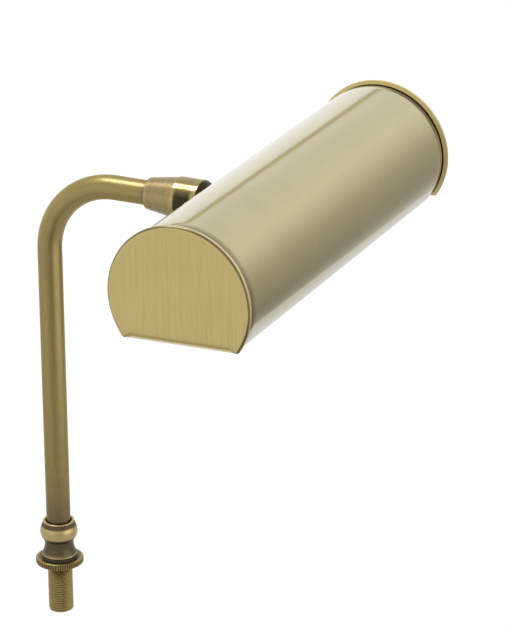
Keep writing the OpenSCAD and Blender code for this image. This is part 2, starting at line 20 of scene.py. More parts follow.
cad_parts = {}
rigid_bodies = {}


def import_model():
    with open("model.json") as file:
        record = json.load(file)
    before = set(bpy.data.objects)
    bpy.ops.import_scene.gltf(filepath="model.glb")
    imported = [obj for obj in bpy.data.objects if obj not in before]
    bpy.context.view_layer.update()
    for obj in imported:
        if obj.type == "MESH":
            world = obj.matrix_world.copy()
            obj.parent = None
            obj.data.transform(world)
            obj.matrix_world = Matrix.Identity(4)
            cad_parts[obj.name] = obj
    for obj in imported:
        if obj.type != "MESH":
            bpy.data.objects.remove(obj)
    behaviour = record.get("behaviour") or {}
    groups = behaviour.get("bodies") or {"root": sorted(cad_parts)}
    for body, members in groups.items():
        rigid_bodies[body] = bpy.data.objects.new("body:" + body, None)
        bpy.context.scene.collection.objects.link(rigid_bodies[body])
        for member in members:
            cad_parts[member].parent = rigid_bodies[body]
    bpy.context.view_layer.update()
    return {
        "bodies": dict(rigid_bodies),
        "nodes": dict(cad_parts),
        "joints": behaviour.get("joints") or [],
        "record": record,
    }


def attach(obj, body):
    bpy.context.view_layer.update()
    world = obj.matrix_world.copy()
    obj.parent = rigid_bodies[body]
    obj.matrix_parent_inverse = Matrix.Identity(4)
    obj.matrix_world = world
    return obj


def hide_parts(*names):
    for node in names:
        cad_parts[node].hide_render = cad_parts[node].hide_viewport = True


LOG = logging.getLogger("lectern_lamp")
MM = 0.001
MERGE = 1e-7
TINY = 1e-12
TURN = 2.0 * math.pi
IMAGE_HEIGHT = 631
# Relief of a plain surface, halfway from a hollow to an edge
LEVEL = 0.5
# Range that most of the noise falls in
NOISE_LOW = 0.3
NOISE_HIGH = 0.7
WHITE = (1.0, 1.0, 1.0, 1.0)
BLACK = (0.0, 0.0, 0.0, 1.0)
# Sockets of a mix node that mixes colours: factor, first and second colour, and the result
MIX_INPUTS = (0, 6, 7)
MIX_OUTPUT = 2

Point = tuple[float, float, float]
Colour = tuple[float, float, float]
Pair = tuple[float, float]
Stops = tuple[tuple[float, Colour], ...]


class Body(str, Enum):
    """The CAD bodies that pieces ride on."""

    STAND = "stand"
    WASHER = "washer"
    LOCKNUT = "locknut"
    SHADE = "shade"
    SWITCH = "switch"


class Slot(str, Enum):
    """The record's material slots."""

    ANTIQUE = "antique_brass"
    BRUSHED = "brushed_brass"
    STEEL = "plated_steel"
    FIBRE = "dark_fibre"
    PORCELAIN = "porcelain"
    KEY = "key_plastic"
    GLASS = "bulb_glass"


class PlaceFrom(Enum):
    """Where a finish takes its coordinates: a piece's own lathe attribute, or the object's coordinates."""

    LATHE = "lathe"
    OBJECT = "object"


def arc(centre: Sequence[float], radius: float, start: float, end: float, count: int) -> np.ndarray:
    """Points on a circle: the centre plus the radius times cosine and sine of evenly spaced angles.

    Args:
        centre: The circle's centre.
        radius: The circle's radius.
        start: First angle in degrees.
        end: Last angle in degrees.
        count: Number of points.

    Returns:
        An array of points in two coordinates.
    """
    angle = np.radians(np.linspace(start, end, count))
    return np.asarray(centre) + radius * np.column_stack([np.cos(angle), np.sin(angle)])


def even_steps(outline: np.ndarray, step: float) -> np.ndarray:
    """A closed outline at even steps: both coordinates interpolated over the length run so far.

    Args:
        outline: The outline's points, without the first one repeated.
        step: Distance between the new points.

    Returns:
        The new points.
    """
    ring = np.vstack([outline, outline[:1]])
    run = np.concatenate([[0.0], np.cumsum(np.linalg.norm(np.diff(ring, axis=0), axis=1))])
    at = np.linspace(0.0, run[-1], int(np.ceil(run[-1] / step)), endpoint=False)
    return np.column_stack([np.interp(at, run, ring[:, 0]), np.interp(at, run, ring[:, 1])])


def relief_of(outline: np.ndarray, step: float, reach: float, depth: float) -> np.ndarray:
    """How far a closed outline stands out of its own running mean: 0 in hollows, 0.5 level, 1 on edges.

    The mean is a Gaussian along the outline, taken as a product of its Fourier coefficients.

    Args:
        outline: Evenly spaced points.
        step: Distance between them.
        reach: Spread of the mean along the outline.
        depth: Distance from the mean that counts as fully proud or fully sunk.

    Returns:
        One value for each point.
    """
    frequency = np.fft.fftfreq(len(outline))
    weight = np.exp(-2.0 * (math.pi * reach / step * frequency) ** 2)
    mean = np.fft.ifft(np.fft.fft(outline, axis=0) * weight[:, None], axis=0).real
    ahead = np.roll(outline, -1, axis=0)
    area = np.sum(outline[:, 0] * ahead[:, 1] - ahead[:, 0] * outline[:, 1])
    tangent = ahead - np.roll(outline, 1, axis=0)
    normal = np.column_stack([tangent[:, 1], -tangent[:, 0]]) * np.sign(area)
    normal /= np.linalg.norm(normal, axis=1, keepdims=True) + TINY
    proud = np.sum((outline - mean) * normal, axis=1)
    return np.clip(LEVEL + 0.5 * proud / depth, 0.0, 1.0)


@dataclass(frozen=True)
class Spindle:
    """An axis that pieces are turned on."""

    start: Point
    axis: Point
    side: Point

    def place(self, local: np.ndarray) -> np.ndarray:
        """Points given along the side, the cross direction and the axis, as metres in the row frame."""
        axis = np.asarray(self.axis)
        side = np.asarray(self.side)
        return (np.asarray(self.start) + local @ np.stack([side, np.cross(axis, side), axis])) * MM


@dataclass
class Surface:
    """A grid of points in metres with the lathe coordinates and relief of each point.

    Attributes:
        points: Rows by columns by three.
        lathe: The same points in millimetres in the piece's own straight frame, with its axis third.
        relief: Rows by columns, 0 in hollows to 1 on edges.
        rows_closed: Whether the last row joins the first.
        columns_closed: Whether the last column joins the first.
    """

    points: np.ndarray
    lathe: np.ndarray
    relief: np.ndarray
    rows_closed: bool = True
    columns_closed: bool = True

    def quads(self, first: int) -> np.ndarray:
        """The grid's faces: each point with its neighbours one row and one column on.

        Args:
            first: Number of the grid's first vertex in the mesh.

        Returns:
            Four vertex numbers for each face.
        """
        rows, columns = self.relief.shape
        number = np.arange(rows * columns).reshape(rows, columns) + first
        if self.rows_closed:
            number = np.vstack([number, number[:1]])
        if self.columns_closed:
            number = np.hstack([number, number[:, :1]])
        corners = [number[:-1, :-1], number[:-1, 1:], number[1:, 1:], number[1:, :-1]]
        return np.stack(corners, axis=-1).reshape(-1, 4)


def turned(
    spindle: Spindle, outline: np.ndarray, relief: np.ndarray, columns: int = 128, closed: bool = True
) -> Surface:
    """A profile carried round a spindle: a point at length s and radius r becomes (r cos a, r sin a, s).

    Args:
        spindle: The axis.
        outline: Length and radius of each profile point.
        relief: Relief of each row, or of each row and column.
        columns: Number of points round the axis.
        closed: Whether the profile is a closed loop.

    Returns:
        The surface.
    """
    angle = np.linspace(0.0, TURN, columns, endpoint=False)[None, :]
    return turned_grid(spindle, outline[:, :1] + 0.0 * angle, outline[:, 1:2] + 0.0 * angle, relief, closed)


def turned_grid(
    spindle: Spindle, length: np.ndarray, radius: np.ndarray, relief: np.ndarray, closed: bool = True
) -> Surface:
    """A surface round a spindle whose length and radius may both change with the angle.

    Args:
        spindle: The axis.
        length: Rows by columns of length along the axis.
        radius: Rows by columns of radius.
        relief: Relief of each row, or of each row and column.
        closed: Whether the rows are a closed loop.

    Returns:
        The surface.
    """
    angle = np.linspace(0.0, TURN, radius.shape[1], endpoint=False)[None, :]
    lathe = np.stack([radius * np.cos(angle), radius * np.sin(angle), length], axis=-1)
    proud = relief[:, None] + 0.0 * angle if relief.ndim == 1 else relief
    return Surface(spindle.place(lathe), lathe, proud, rows_closed=closed)


def piece(name: str, surfaces: Sequence[Surface], sharp: float = 50.0) -> bpy.types.Object:
    """Puts surfaces into one mesh object at the origin, merged, facing outwards and smooth.

    Args:
        name: The object's name.
        surfaces: The surfaces of the piece.
        sharp: Angle in degrees above which an edge stays sharp.

    Returns:
        The object.
    """
    counts = np.cumsum([0] + [grid.relief.size for grid in surfaces])
    points = np.vstack([grid.points.reshape(-1, 3) for grid in surfaces])
    faces = np.vstack([grid.quads(int(first)) for grid, first in zip(surfaces, counts)])
    mesh = bpy.data.meshes.new(name)
    mesh.from_pydata(points.tolist(), [], faces.tolist())
    lathe = mesh.attributes.new("lathe", "FLOAT_VECTOR", "POINT")
    lathe.data.foreach_set("vector", np.concatenate([grid.lathe.ravel() for grid in surfaces]))
    relief = mesh.attributes.new("relief", "FLOAT", "POINT")
    relief.data.foreach_set("value", np.concatenate([grid.relief.ravel() for grid in surfaces]))
    shape = bmesh.new()
    shape.from_mesh(mesh)
    bmesh.ops.remove_doubles(shape, verts=shape.verts, dist=MERGE)
    bmesh.ops.recalc_face_normals(shape, faces=shape.faces)
    shape.to_mesh(mesh)
    shape.free()
    mesh.shade_smooth()
    mesh.set_sharp_from_angle(angle=math.radians(sharp))
    made = bpy.data.objects.new(name, mesh)
    bpy.context.scene.collection.objects.link(made)
    return made


class NodeSheet:
    """A node tree that is being filled in."""

    def __init__(self, tree: bpy.types.NodeTree) -> None:
        """Keeps the tree and empties it."""
        self.tree = tree
        tree.nodes.clear()

    def add(self, kind: str, values: dict[str, Any] | None = None, **settings: Any) -> bpy.types.Node:
        """Adds a node.

        Args:
            kind: Blender's name of the node's type.
            values: Values for its input sockets by name: a socket is linked, anything else is set.
            settings: Values for the node's own properties.

        Returns:
            The node.
        """
        made = self.tree.nodes.new(kind)
        for name, value in settings.items():
            setattr(made, name, value)
        for name, value in (values or {}).items():
            self.feed(made.inputs[name], value)
        return made

    def feed(self, target: bpy.types.NodeSocket, value: Any) -> None:
        """Links a socket to the target, or sets the target's own value."""
        if isinstance(value, bpy.types.NodeSocket):
            self.tree.links.new(value, target)
        else:
            target.default_value = value

    def mix(self, factor: Any, first: Any, second: Any, blend: str = "MIX") -> bpy.types.NodeSocket:
        """Mixes two colours.

        Args:
            factor: Share of the second colour.
            first: Colour at factor zero.
            second: Colour at factor one.
            blend: Blender's name for the way of mixing.

        Returns:
            The mixed colour's socket.
        """
        made = self.tree.nodes.new("ShaderNodeMix")
        made.data_type = "RGBA"
        made.blend_type = blend
        for number, value in zip(MIX_INPUTS, (factor, first, second)):
            self.feed(made.inputs[number], value)
        return made.outputs[MIX_OUTPUT]

    def spread(
        self, value: Any, low: float, high: float, to_low: float, to_high: float
    ) -> bpy.types.NodeSocket:
        """Maps a range of values smoothly to another range.

        Args:
            value: The value's socket.
            low: Start of its range.
            high: End of its range.
            to_low: Result at the start.
            to_high: Result at the end.

        Returns:
            The result's socket.
        """
        limits = {"From Min": low, "From Max": high, "To Min": to_low, "To Max": to_high}
        made = self.add("ShaderNodeMapRange", {"Value": value, **limits}, interpolation_type="SMOOTHSTEP")
        return made.outputs["Result"]

    def sums(self, operation: str, first: Any, second: Any) -> bpy.types.NodeSocket:
        """A sum, product or other operation on two values."""
        made = self.tree.nodes.new("ShaderNodeMath")
        made.operation = operation
        self.feed(made.inputs[0], first)
        self.feed(made.inputs[1], second)
        return made.outputs[0]


class SharedEffects:
    """The node groups that several finishes use: brushed grain and patina."""

    noise_roughness = 0.6
    streak_detail = 3.0
    cloud_detail = 4.0
    cloud_scale = 0.35
    cloud_reach = 0.24
    border = 0.3

    def __init__(self) -> None:
        """Builds both groups once."""
        self.grain = self.brushed_grain()
        self.patina = self.patina_and_painted_shade()

    @staticmethod
    def group(name: str, inputs: dict[str, str], outputs: dict[str, str]) -> bpy.types.NodeTree:
        """An empty shader group with named sockets.

        Args:
            name: The group's name.
            inputs: Socket type for each input.
            outputs: Socket type for each output.

        Returns:
            The group.
        """
        tree = bpy.data.node_groups.new(name, "ShaderNodeTree")
        for label, kind in inputs.items():
            tree.interface.new_socket(label, in_out="INPUT", socket_type=kind)
        for label, kind in outputs.items():
            tree.interface.new_socket(label, in_out="OUTPUT", socket_type=kind)
        return tree

    def brushed_grain(self) -> bpy.types.NodeTree:
        """Fine streaks: noise on coordinates that are stretched far more one way than the other."""
        vector = "NodeSocketVector"
        tree = self.group("brushed_grain", {"Place": vector, "Stretch": vector}, {"Tone": "NodeSocketFloat"})
        sheet = NodeSheet(tree)
        given = sheet.add("NodeGroupInput")
        stretched = sheet.add("ShaderNodeVectorMath", operation="MULTIPLY")
        sheet.feed(stretched.inputs[0], given.outputs["Place"])
        sheet.feed(stretched.inputs[1], given.outputs["Stretch"])
        streaks = sheet.add(
            "ShaderNodeTexNoise",
            {
                "Vector": stretched.outputs[0],
                "Scale": 1.0,
                "Detail": self.streak_detail,
                "Roughness": self.noise_roughness,
            },
        )
        sheet.add("NodeGroupOutput", {"Tone": streaks.outputs[0]})
        return tree

    def patina_and_painted_shade(self) -> bpy.types.NodeTree:
        """Dark patina kept in hollows and rubbed off edges, with a cloudy border; relief also sets painted
        shade.
        """
        tree = self.group(
            "patina_and_painted_shade",
            {
                "Place": "NodeSocketVector",
                "Relief": "NodeSocketFloat",
                "Cover": "NodeSocketFloat",
                "Clean": "NodeSocketColor",
                "Aged": "NodeSocketColor",
            },
            {"Colour": "NodeSocketColor", "Clean Share": "NodeSocketFloat"},
        )
        sheet = NodeSheet(tree)
        given = sheet.add("NodeGroupInput")
        cloud = sheet.add(
            "ShaderNodeTexNoise",
            {
                "Vector": given.outputs["Place"],
                "Scale": self.cloud_scale,
                "Detail": self.cloud_detail,
                "Roughness": self.noise_roughness,
            },
        )
        shifted = sheet.sums("MULTIPLY_ADD", cloud.outputs[0], self.cloud_reach)
        shifted.node.inputs[2].default_value = -0.5 * self.cloud_reach
        height = sheet.sums("ADD", given.outputs["Relief"], shifted)
        above = sheet.sums("SUBTRACT", height, given.outputs["Cover"])
        share = sheet.spread(above, -self.border, self.border, 0.0, 1.0)
        colour = sheet.mix(share, given.outputs["Aged"], given.outputs["Clean"])
        sheet.add("NodeGroupOutput", {"Colour": colour, "Clean Share": share})
        return tree


@dataclass(frozen=True)
class Finish:
    """What every finish shares: a name and a way to start its material."""

    name: str

    def start(self) -> tuple[bpy.types.Material, NodeSheet]:
        """A new material with an empty sheet of nodes."""
        material = bpy.data.materials.new(self.name)
        material.use_nodes = True
        return material, NodeSheet(material.node_tree)

    @staticmethod
    def place(sheet: NodeSheet, source: PlaceFrom) -> bpy.types.NodeSocket:
        """Coordinates in millimetres.

        Args:
            sheet: The material's nodes.
            source: The lathe attribute or the object's coordinates.

        Returns:
            The coordinates' socket.
        """
        if source is PlaceFrom.LATHE:
            return sheet.add("ShaderNodeAttribute", attribute_name="lathe").outputs["Vector"]
        metres = sheet.add("ShaderNodeTexCoord").outputs["Object"]
        scaled = sheet.add("ShaderNodeVectorMath", operation="SCALE")
        sheet.feed(scaled.inputs[0], metres)
        scaled.inputs["Scale"].default_value = 1.0 / MM
        return scaled.outputs[0]

    @staticmethod
    def grain(
        sheet: NodeSheet, effects: SharedEffects, place: bpy.types.NodeSocket, stretch: Point
    ) -> bpy.types.NodeSocket:
        """The shared brushed grain with its own stretch.

        Args:
            sheet: The material's nodes.
            effects: The shared groups.
            place: Coordinates in millimetres.
            stretch: Streaks per millimetre along each coordinate.

        Returns:
            The grain's tone, from 0 to 1.
        """
        made = sheet.add("ShaderNodeGroup", node_tree=effects.grain)
        sheet.feed(made.inputs["Place"], place)
        made.inputs["Stretch"].default_value = stretch
        return made.outputs["Tone"]

    @staticmethod
    def bump(
        sheet: NodeSheet, height: bpy.types.NodeSocket, strength: float, depth: float
    ) -> bpy.types.NodeSocket:
        """A bump from a height.

        Args:
            sheet: The material's nodes.
            height: The height's socket.
            strength: Strength of the bump.
            depth: Depth of the bump in millimetres.

        Returns:
            The normal's socket.
        """
        made = sheet.add("ShaderNodeBump", {"Strength": strength, "Distance": depth * MM, "Height": height})
        return made.outputs["Normal"]

    @staticmethod
    def close(sheet: NodeSheet, values: dict[str, Any]) -> None:
        """Ends a material with a Principled shader and its output.

        Args:
            sheet: The material's nodes.
            values: Values or sockets for the shader's inputs.
        """
        shader = sheet.add("ShaderNodeBsdfPrincipled", values)
        sheet.add("ShaderNodeOutputMaterial", {"Surface": shader.outputs[0]})


@dataclass(frozen=True)
class AgedBrass(Finish):
    """Satin antique brass: dark patina in the hollows, rubbed bright on the edges, fine turning marks."""

    clean: Colour = (0.51, 0.395, 0.18)
    aged: Colour = (0.112, 0.086, 0.047)
    cover: float = 0.36
    roughness: Pair = (0.42, 0.31)
    coat: float = 0.2
    coat_roughness: float = 0.12
    stretch: Point = (0.25, 0.25, 2.6)
    streak: Colour = (0.72, 0.72, 0.72)
    streak_band: Pair = (0.35, 0.65)
    streak_share: float = 0.42
    edge: Colour = (1.0, 1.0, 1.0)
    bump_strength: float = 0.12
    bump_depth: float = 0.02
    source: PlaceFrom = PlaceFrom.LATHE
    plain_relief: float = 0.62

    def material(self, effects: SharedEffects) -> bpy.types.Material:
        """Builds the material."""
        material, sheet = self.start()
        place = self.place(sheet, self.source)
        relief: Any = self.plain_relief
        if self.source is PlaceFrom.LATHE:
            relief = sheet.add("ShaderNodeAttribute", attribute_name="relief").outputs["Fac"]
        aged = sheet.add("ShaderNodeGroup", node_tree=effects.patina)
        given = {
            "Place": place,
            "Relief": relief,
            "Cover": self.cover,
            "Clean": (*self.clean, 1.0),
            "Aged": (*self.aged, 1.0),
        }
        for label, value in given.items():
            sheet.feed(aged.inputs[label], value)
        streaks = self.grain(sheet, effects, place, self.stretch)
        share = sheet.spread(streaks, *self.streak_band, self.streak_share, 0.0)
        streaked = sheet.mix(share, aged.outputs["Colour"], (*self.streak, 1.0), blend="MULTIPLY")
        rough = sheet.spread(aged.outputs["Clean Share"], 0.0, 1.0, *self.roughness)
        self.close(
            sheet,
            {
                "Base Color": streaked,
                "Metallic": 1.0,
                "Specular Tint": (*self.edge, 1.0),
                "Roughness": rough,
                "Coat Weight": self.coat,
                "Coat Roughness": self.coat_roughness,
                "Normal": self.bump(sheet, streaks, self.bump_strength, self.bump_depth),
            },
        )
        return material


@dataclass(frozen=True)
class LacqueredBrass(Finish):
    """Brushed brass under clear lacquer, with a painted highlight on rims and painted shade where the relief
    is low.
    """

    base: Colour = (0.50, 0.44, 0.225)
    deep: Colour = (0.40, 0.335, 0.158)
    roughness: Pair = (0.11, 0.18)
    coat: float = 1.0
    coat_roughness: float = 0.04
    coat_ior: float = 1.6
    stretch: Point = (0.05, 0.05, 9.0)
    contrast: float = 0.5
    gloss_band: Pair = (0.25, 0.75)
    cloud_stretch: Point = (0.05, 0.05, 0.05)
    cloud_band: Pair = (0.4, 0.75)
    cloud_share: float = 0.25
    # Painted highlight: a lighter tone on rims, where the relief is high
    rim: Colour = (0.50, 0.425, 0.215)
    rim_highlight_band: Pair = (0.55, 0.75)
    # Painted shade: a dark tone for low relief, standing for shade and dark reflections at the shell's ends
    # and caps
    painted_shade: Colour = (0.10, 0.08, 0.045)
    painted_shade_band: Pair = (0.05, 0.3)
    bump_strength: float = 0.10
    bump_depth: float = 0.02

    def material(self, effects: SharedEffects) -> bpy.types.Material:
        """Builds the material."""
        material, sheet = self.start()
        place = self.place(sheet, PlaceFrom.LATHE)
        streaks = self.grain(sheet, effects, place, self.stretch)
        cloud = self.grain(sheet, effects, place, self.cloud_stretch)
        tone = sheet.spread(streaks, NOISE_LOW, NOISE_HIGH, 0.0, self.contrast)
        brushed = sheet.mix(tone, (*self.base, 1.0), (*self.deep, 1.0))
        cloudy = sheet.spread(cloud, *self.cloud_band, 0.0, self.cloud_share)
        shaded = sheet.mix(cloudy, brushed, (*self.deep, 1.0))
        relief = sheet.add("ShaderNodeAttribute", attribute_name="relief").outputs["Fac"]
        with_rim_highlight = sheet.mix(sheet.spread(relief, *self.rim_highlight_band, 0.0, 1.0), shaded, (*self.rim, 1.0))
        with_painted_shade = sheet.mix(sheet.spread(relief, *self.painted_shade_band, 1.0, 0.0), with_rim_highlight, (*self.painted_shade, 1.0))
        self.close(
            sheet,
            {
                "Base Color": with_painted_shade,
                "Metallic": 1.0,
                "Roughness": sheet.spread(streaks, *self.gloss_band, *self.roughness),
                "Coat Weight": self.coat,
                "Coat Roughness": self.coat_roughness,
                "Coat IOR": self.coat_ior,
                "Normal": self.bump(sheet, streaks, self.bump_strength, self.bump_depth),
            },
        )
        return material


@dataclass(frozen=True)
class PlainMetal(Finish):
    """Zinc plated steel or drawn wire with a light grain and cloudy gloss."""

    base: Colour = (0.56, 0.56, 0.55)
    roughness: Pair = (0.24, 0.42)
    stretch: Point = (2.0, 0.4, 2.0)
    dark_share: float = 0.7
    bump_strength: float = 0.1
    bump_depth: float = 0.02

    def material(self, effects: SharedEffects) -> bpy.types.Material:
        """Builds the material."""
        material, sheet = self.start()
        place = self.place(sheet, PlaceFrom.OBJECT)
        streaks = self.grain(sheet, effects, place, self.stretch)
        dark = tuple(self.dark_share * part for part in self.base)
        self.close(
            sheet,
            {
                "Base Color": sheet.mix(streaks, (*self.base, 1.0), (*dark, 1.0)),
                "Metallic": 1.0,
                "Roughness": sheet.spread(streaks, NOISE_LOW, NOISE_HIGH, *self.roughness),
                "Normal": self.bump(sheet, streaks, self.bump_strength, self.bump_depth),
            },
        )
        return material


@dataclass(frozen=True)
class Moulded(Finish):
    """A moulded, pressed or glazed part: two near tones, a fine surface and an even gloss."""

    light: Colour = (0.05, 0.045, 0.04)
    dark: Colour = (0.03, 0.027, 0.024)
    roughness: Pair = (0.5, 0.65)
    coat: float = 0.0
    coat_roughness: float = 0.05
    stretch: Point = (1.5, 1.5, 1.5)
    bump_strength: float = 0.1
    bump_depth: float = 0.02

    def material(self, effects: SharedEffects) -> bpy.types.Material:
        """Builds the material."""
        material, sheet = self.start()
        place = self.place(sheet, PlaceFrom.OBJECT)
        specks = self.grain(sheet, effects, place, self.stretch)
        tone = sheet.spread(specks, NOISE_LOW, NOISE_HIGH, 0.0, 1.0)
        self.close(
            sheet,
            {
                "Base Color": sheet.mix(tone, (*self.light, 1.0), (*self.dark, 1.0)),
                "Roughness": sheet.spread(specks, NOISE_LOW, NOISE_HIGH, *self.roughness),
                "Coat Weight": self.coat,
                "Coat Roughness": self.coat_roughness,
                "Normal": self.bump(sheet, specks, self.bump_strength, self.bump_depth),
            },
        )
        return material


@dataclass(frozen=True)
class ClearGlass(Finish):
    """Clear blown glass with a very slightly wavy surface."""

    tint: Colour = (0.97, 0.985, 0.985)
    roughness: Pair = (0.01, 0.03)
    stretch: Point = (0.08, 0.02, 0.08)
    ior: float = 1.47
    bump_strength: float = 0.03
    bump_depth: float = 0.05

    def material(self, effects: SharedEffects) -> bpy.types.Material:
        """Builds the material."""
        material, sheet = self.start()
        place = self.place(sheet, PlaceFrom.OBJECT)
        waves = self.grain(sheet, effects, place, self.stretch)
        self.close(
            sheet,
            {
                "Base Color": (*self.tint, 1.0),
                "Roughness": sheet.spread(waves, NOISE_LOW, NOISE_HIGH, *self.roughness),
                "Transmission Weight": 1.0,
                "IOR": self.ior,
                "Normal": self.bump(sheet, waves, self.bump_strength, self.bump_depth),
            },
        )
        return material


class Finishes:
    """Every finish of the lamp, built once."""

    def __init__(self) -> None:
        """Builds the shared effects and each material."""
        effects = SharedEffects()
        self.turned_brass = AgedBrass("turned_antique_brass").material(effects)
        self.tube_brass = AgedBrass(
            "drawn_tube_brass",
            clean=(0.32, 0.245, 0.085),
            cover=0.24,
            roughness=(0.44, 0.37),
            coat=0.5,
            stretch=(2.5, 2.5, 0.05),
            edge=(1.0, 0.86, 0.55),
        ).material(effects)
        self.swivel_brass = AgedBrass(
            "polished_swivel_brass",
            clean=(0.39, 0.30, 0.133),
            roughness=(0.34, 0.25),
            stretch=(0.12, 0.12, 1.0),
        ).material(effects)
        # Its aged tone also serves the painted shade under the barrel
        self.barrel_brass = AgedBrass(
            "polished_barrel_brass",
            clean=(0.42, 0.325, 0.145),
            aged=(0.045, 0.035, 0.02),
            roughness=(0.30, 0.15),
            coat=0.05,
            stretch=(0.12, 0.12, 1.0),
        ).material(effects)
        self.thread_brass = AgedBrass(
            "threaded_brass", clean=(0.31, 0.23, 0.08), cover=0.42, stretch=(1.2, 1.2, 3.0)
        ).material(effects)
        self.nut_brass = AgedBrass(
            "knurled_nut_brass", clean=(0.35, 0.255, 0.09), cover=0.56, stretch=(0.6, 0.6, 1.2)
        ).material(effects)
        self.fitting_brass = AgedBrass("small_fitting_brass", source=PlaceFrom.OBJECT).material(effects)
        self.shell_brass = LacqueredBrass("lacquered_shell_brass").material(effects)
        self.cap_brass = LacqueredBrass(
            "lacquered_cap_brass",
            base=(0.585, 0.475, 0.20),
            deep=(0.485, 0.38, 0.147),
            roughness=(0.28, 0.38),
            coat=0.3,
            coat_roughness=0.15,
            stretch=(6.0, 0.05, 0.3),
            contrast=0.8,
            # Painted highlight on the caps' rims and on the bevel of their folded edge
            rim=(0.86, 0.74, 0.45),
        ).material(effects)
        self.steel = PlainMetal("zinc_plate").material(effects)
        self.tungsten = PlainMetal("tungsten_wire", base=(0.32, 0.31, 0.30)).material(effects)
        # Dark fibre washer, whose dark tone is also painted shade in the gap between the foot and the nut
        self.fibre_and_gap_shade = Moulded(
            "dark_fibre", light=(0.060, 0.046, 0.026), dark=(0.040, 0.030, 0.017)
        ).material(effects)
        self.nylon = Moulded(
            "moulded_nylon", light=(0.13, 0.12, 0.11), dark=(0.09, 0.085, 0.08)
        ).material(effects)
        self.porcelain = Moulded(
            "glazed_porcelain",
            light=(0.86, 0.84, 0.78),
            dark=(0.80, 0.78, 0.71),
            roughness=(0.22, 0.34),
            coat=0.8,
            stretch=(0.25, 0.25, 0.25),
        ).material(effects)
        self.key = Moulded(
            "polished_key",
            light=(0.035, 0.028, 0.024),
            dark=(0.02, 0.017, 0.015),
            roughness=(0.2, 0.32),
            coat=0.6,
        ).material(effects)
        self.glass = ClearGlass("clear_bulb_glass").material(effects)


class Assembly:
    """Takes finished pieces into the frame and reports them."""

    def __init__(self, frame: dict[str, Any]) -> None:
        """Keeps the loaded frame."""
        self.frame = frame

    def add(
        self,
        made: bpy.types.Object,
        material: bpy.types.Material,
        body: Body,
        slot: Slot,
        nodes: Sequence[str],
    ) -> None:
        """Dresses a new piece, puts it on its body and lets it stand for its CAD nodes.

        Args:
            made: The new piece.
            material: Its material.
            body: The body that it rides on.
            slot: Its material slot; not used.
            nodes: The CAD nodes that it replaces.
        """
        made.data.materials.append(material)
        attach(made, body.value)
        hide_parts(*nodes)
        count = len(made.data.polygons)
        LOG.info("%s replaces %s on %s, %d faces", made.name, ", ".join(nodes), body.value, count)

    def dress(self, node: str, material: bpy.types.Material) -> None:
        """Gives a CAD node its material.

        Args:
            node: The node's name.
            material: Its material.
        """
        mesh = self.frame["nodes"][node].data
        mesh.materials.clear()
        mesh.materials.append(material)
        LOG.info("%s keeps its CAD form in %s", node, material.name)


POST = Spindle((0.0, 0.0, 0.0), (0.0, 0.0, 1.0), (1.0, 0.0, 0.0))


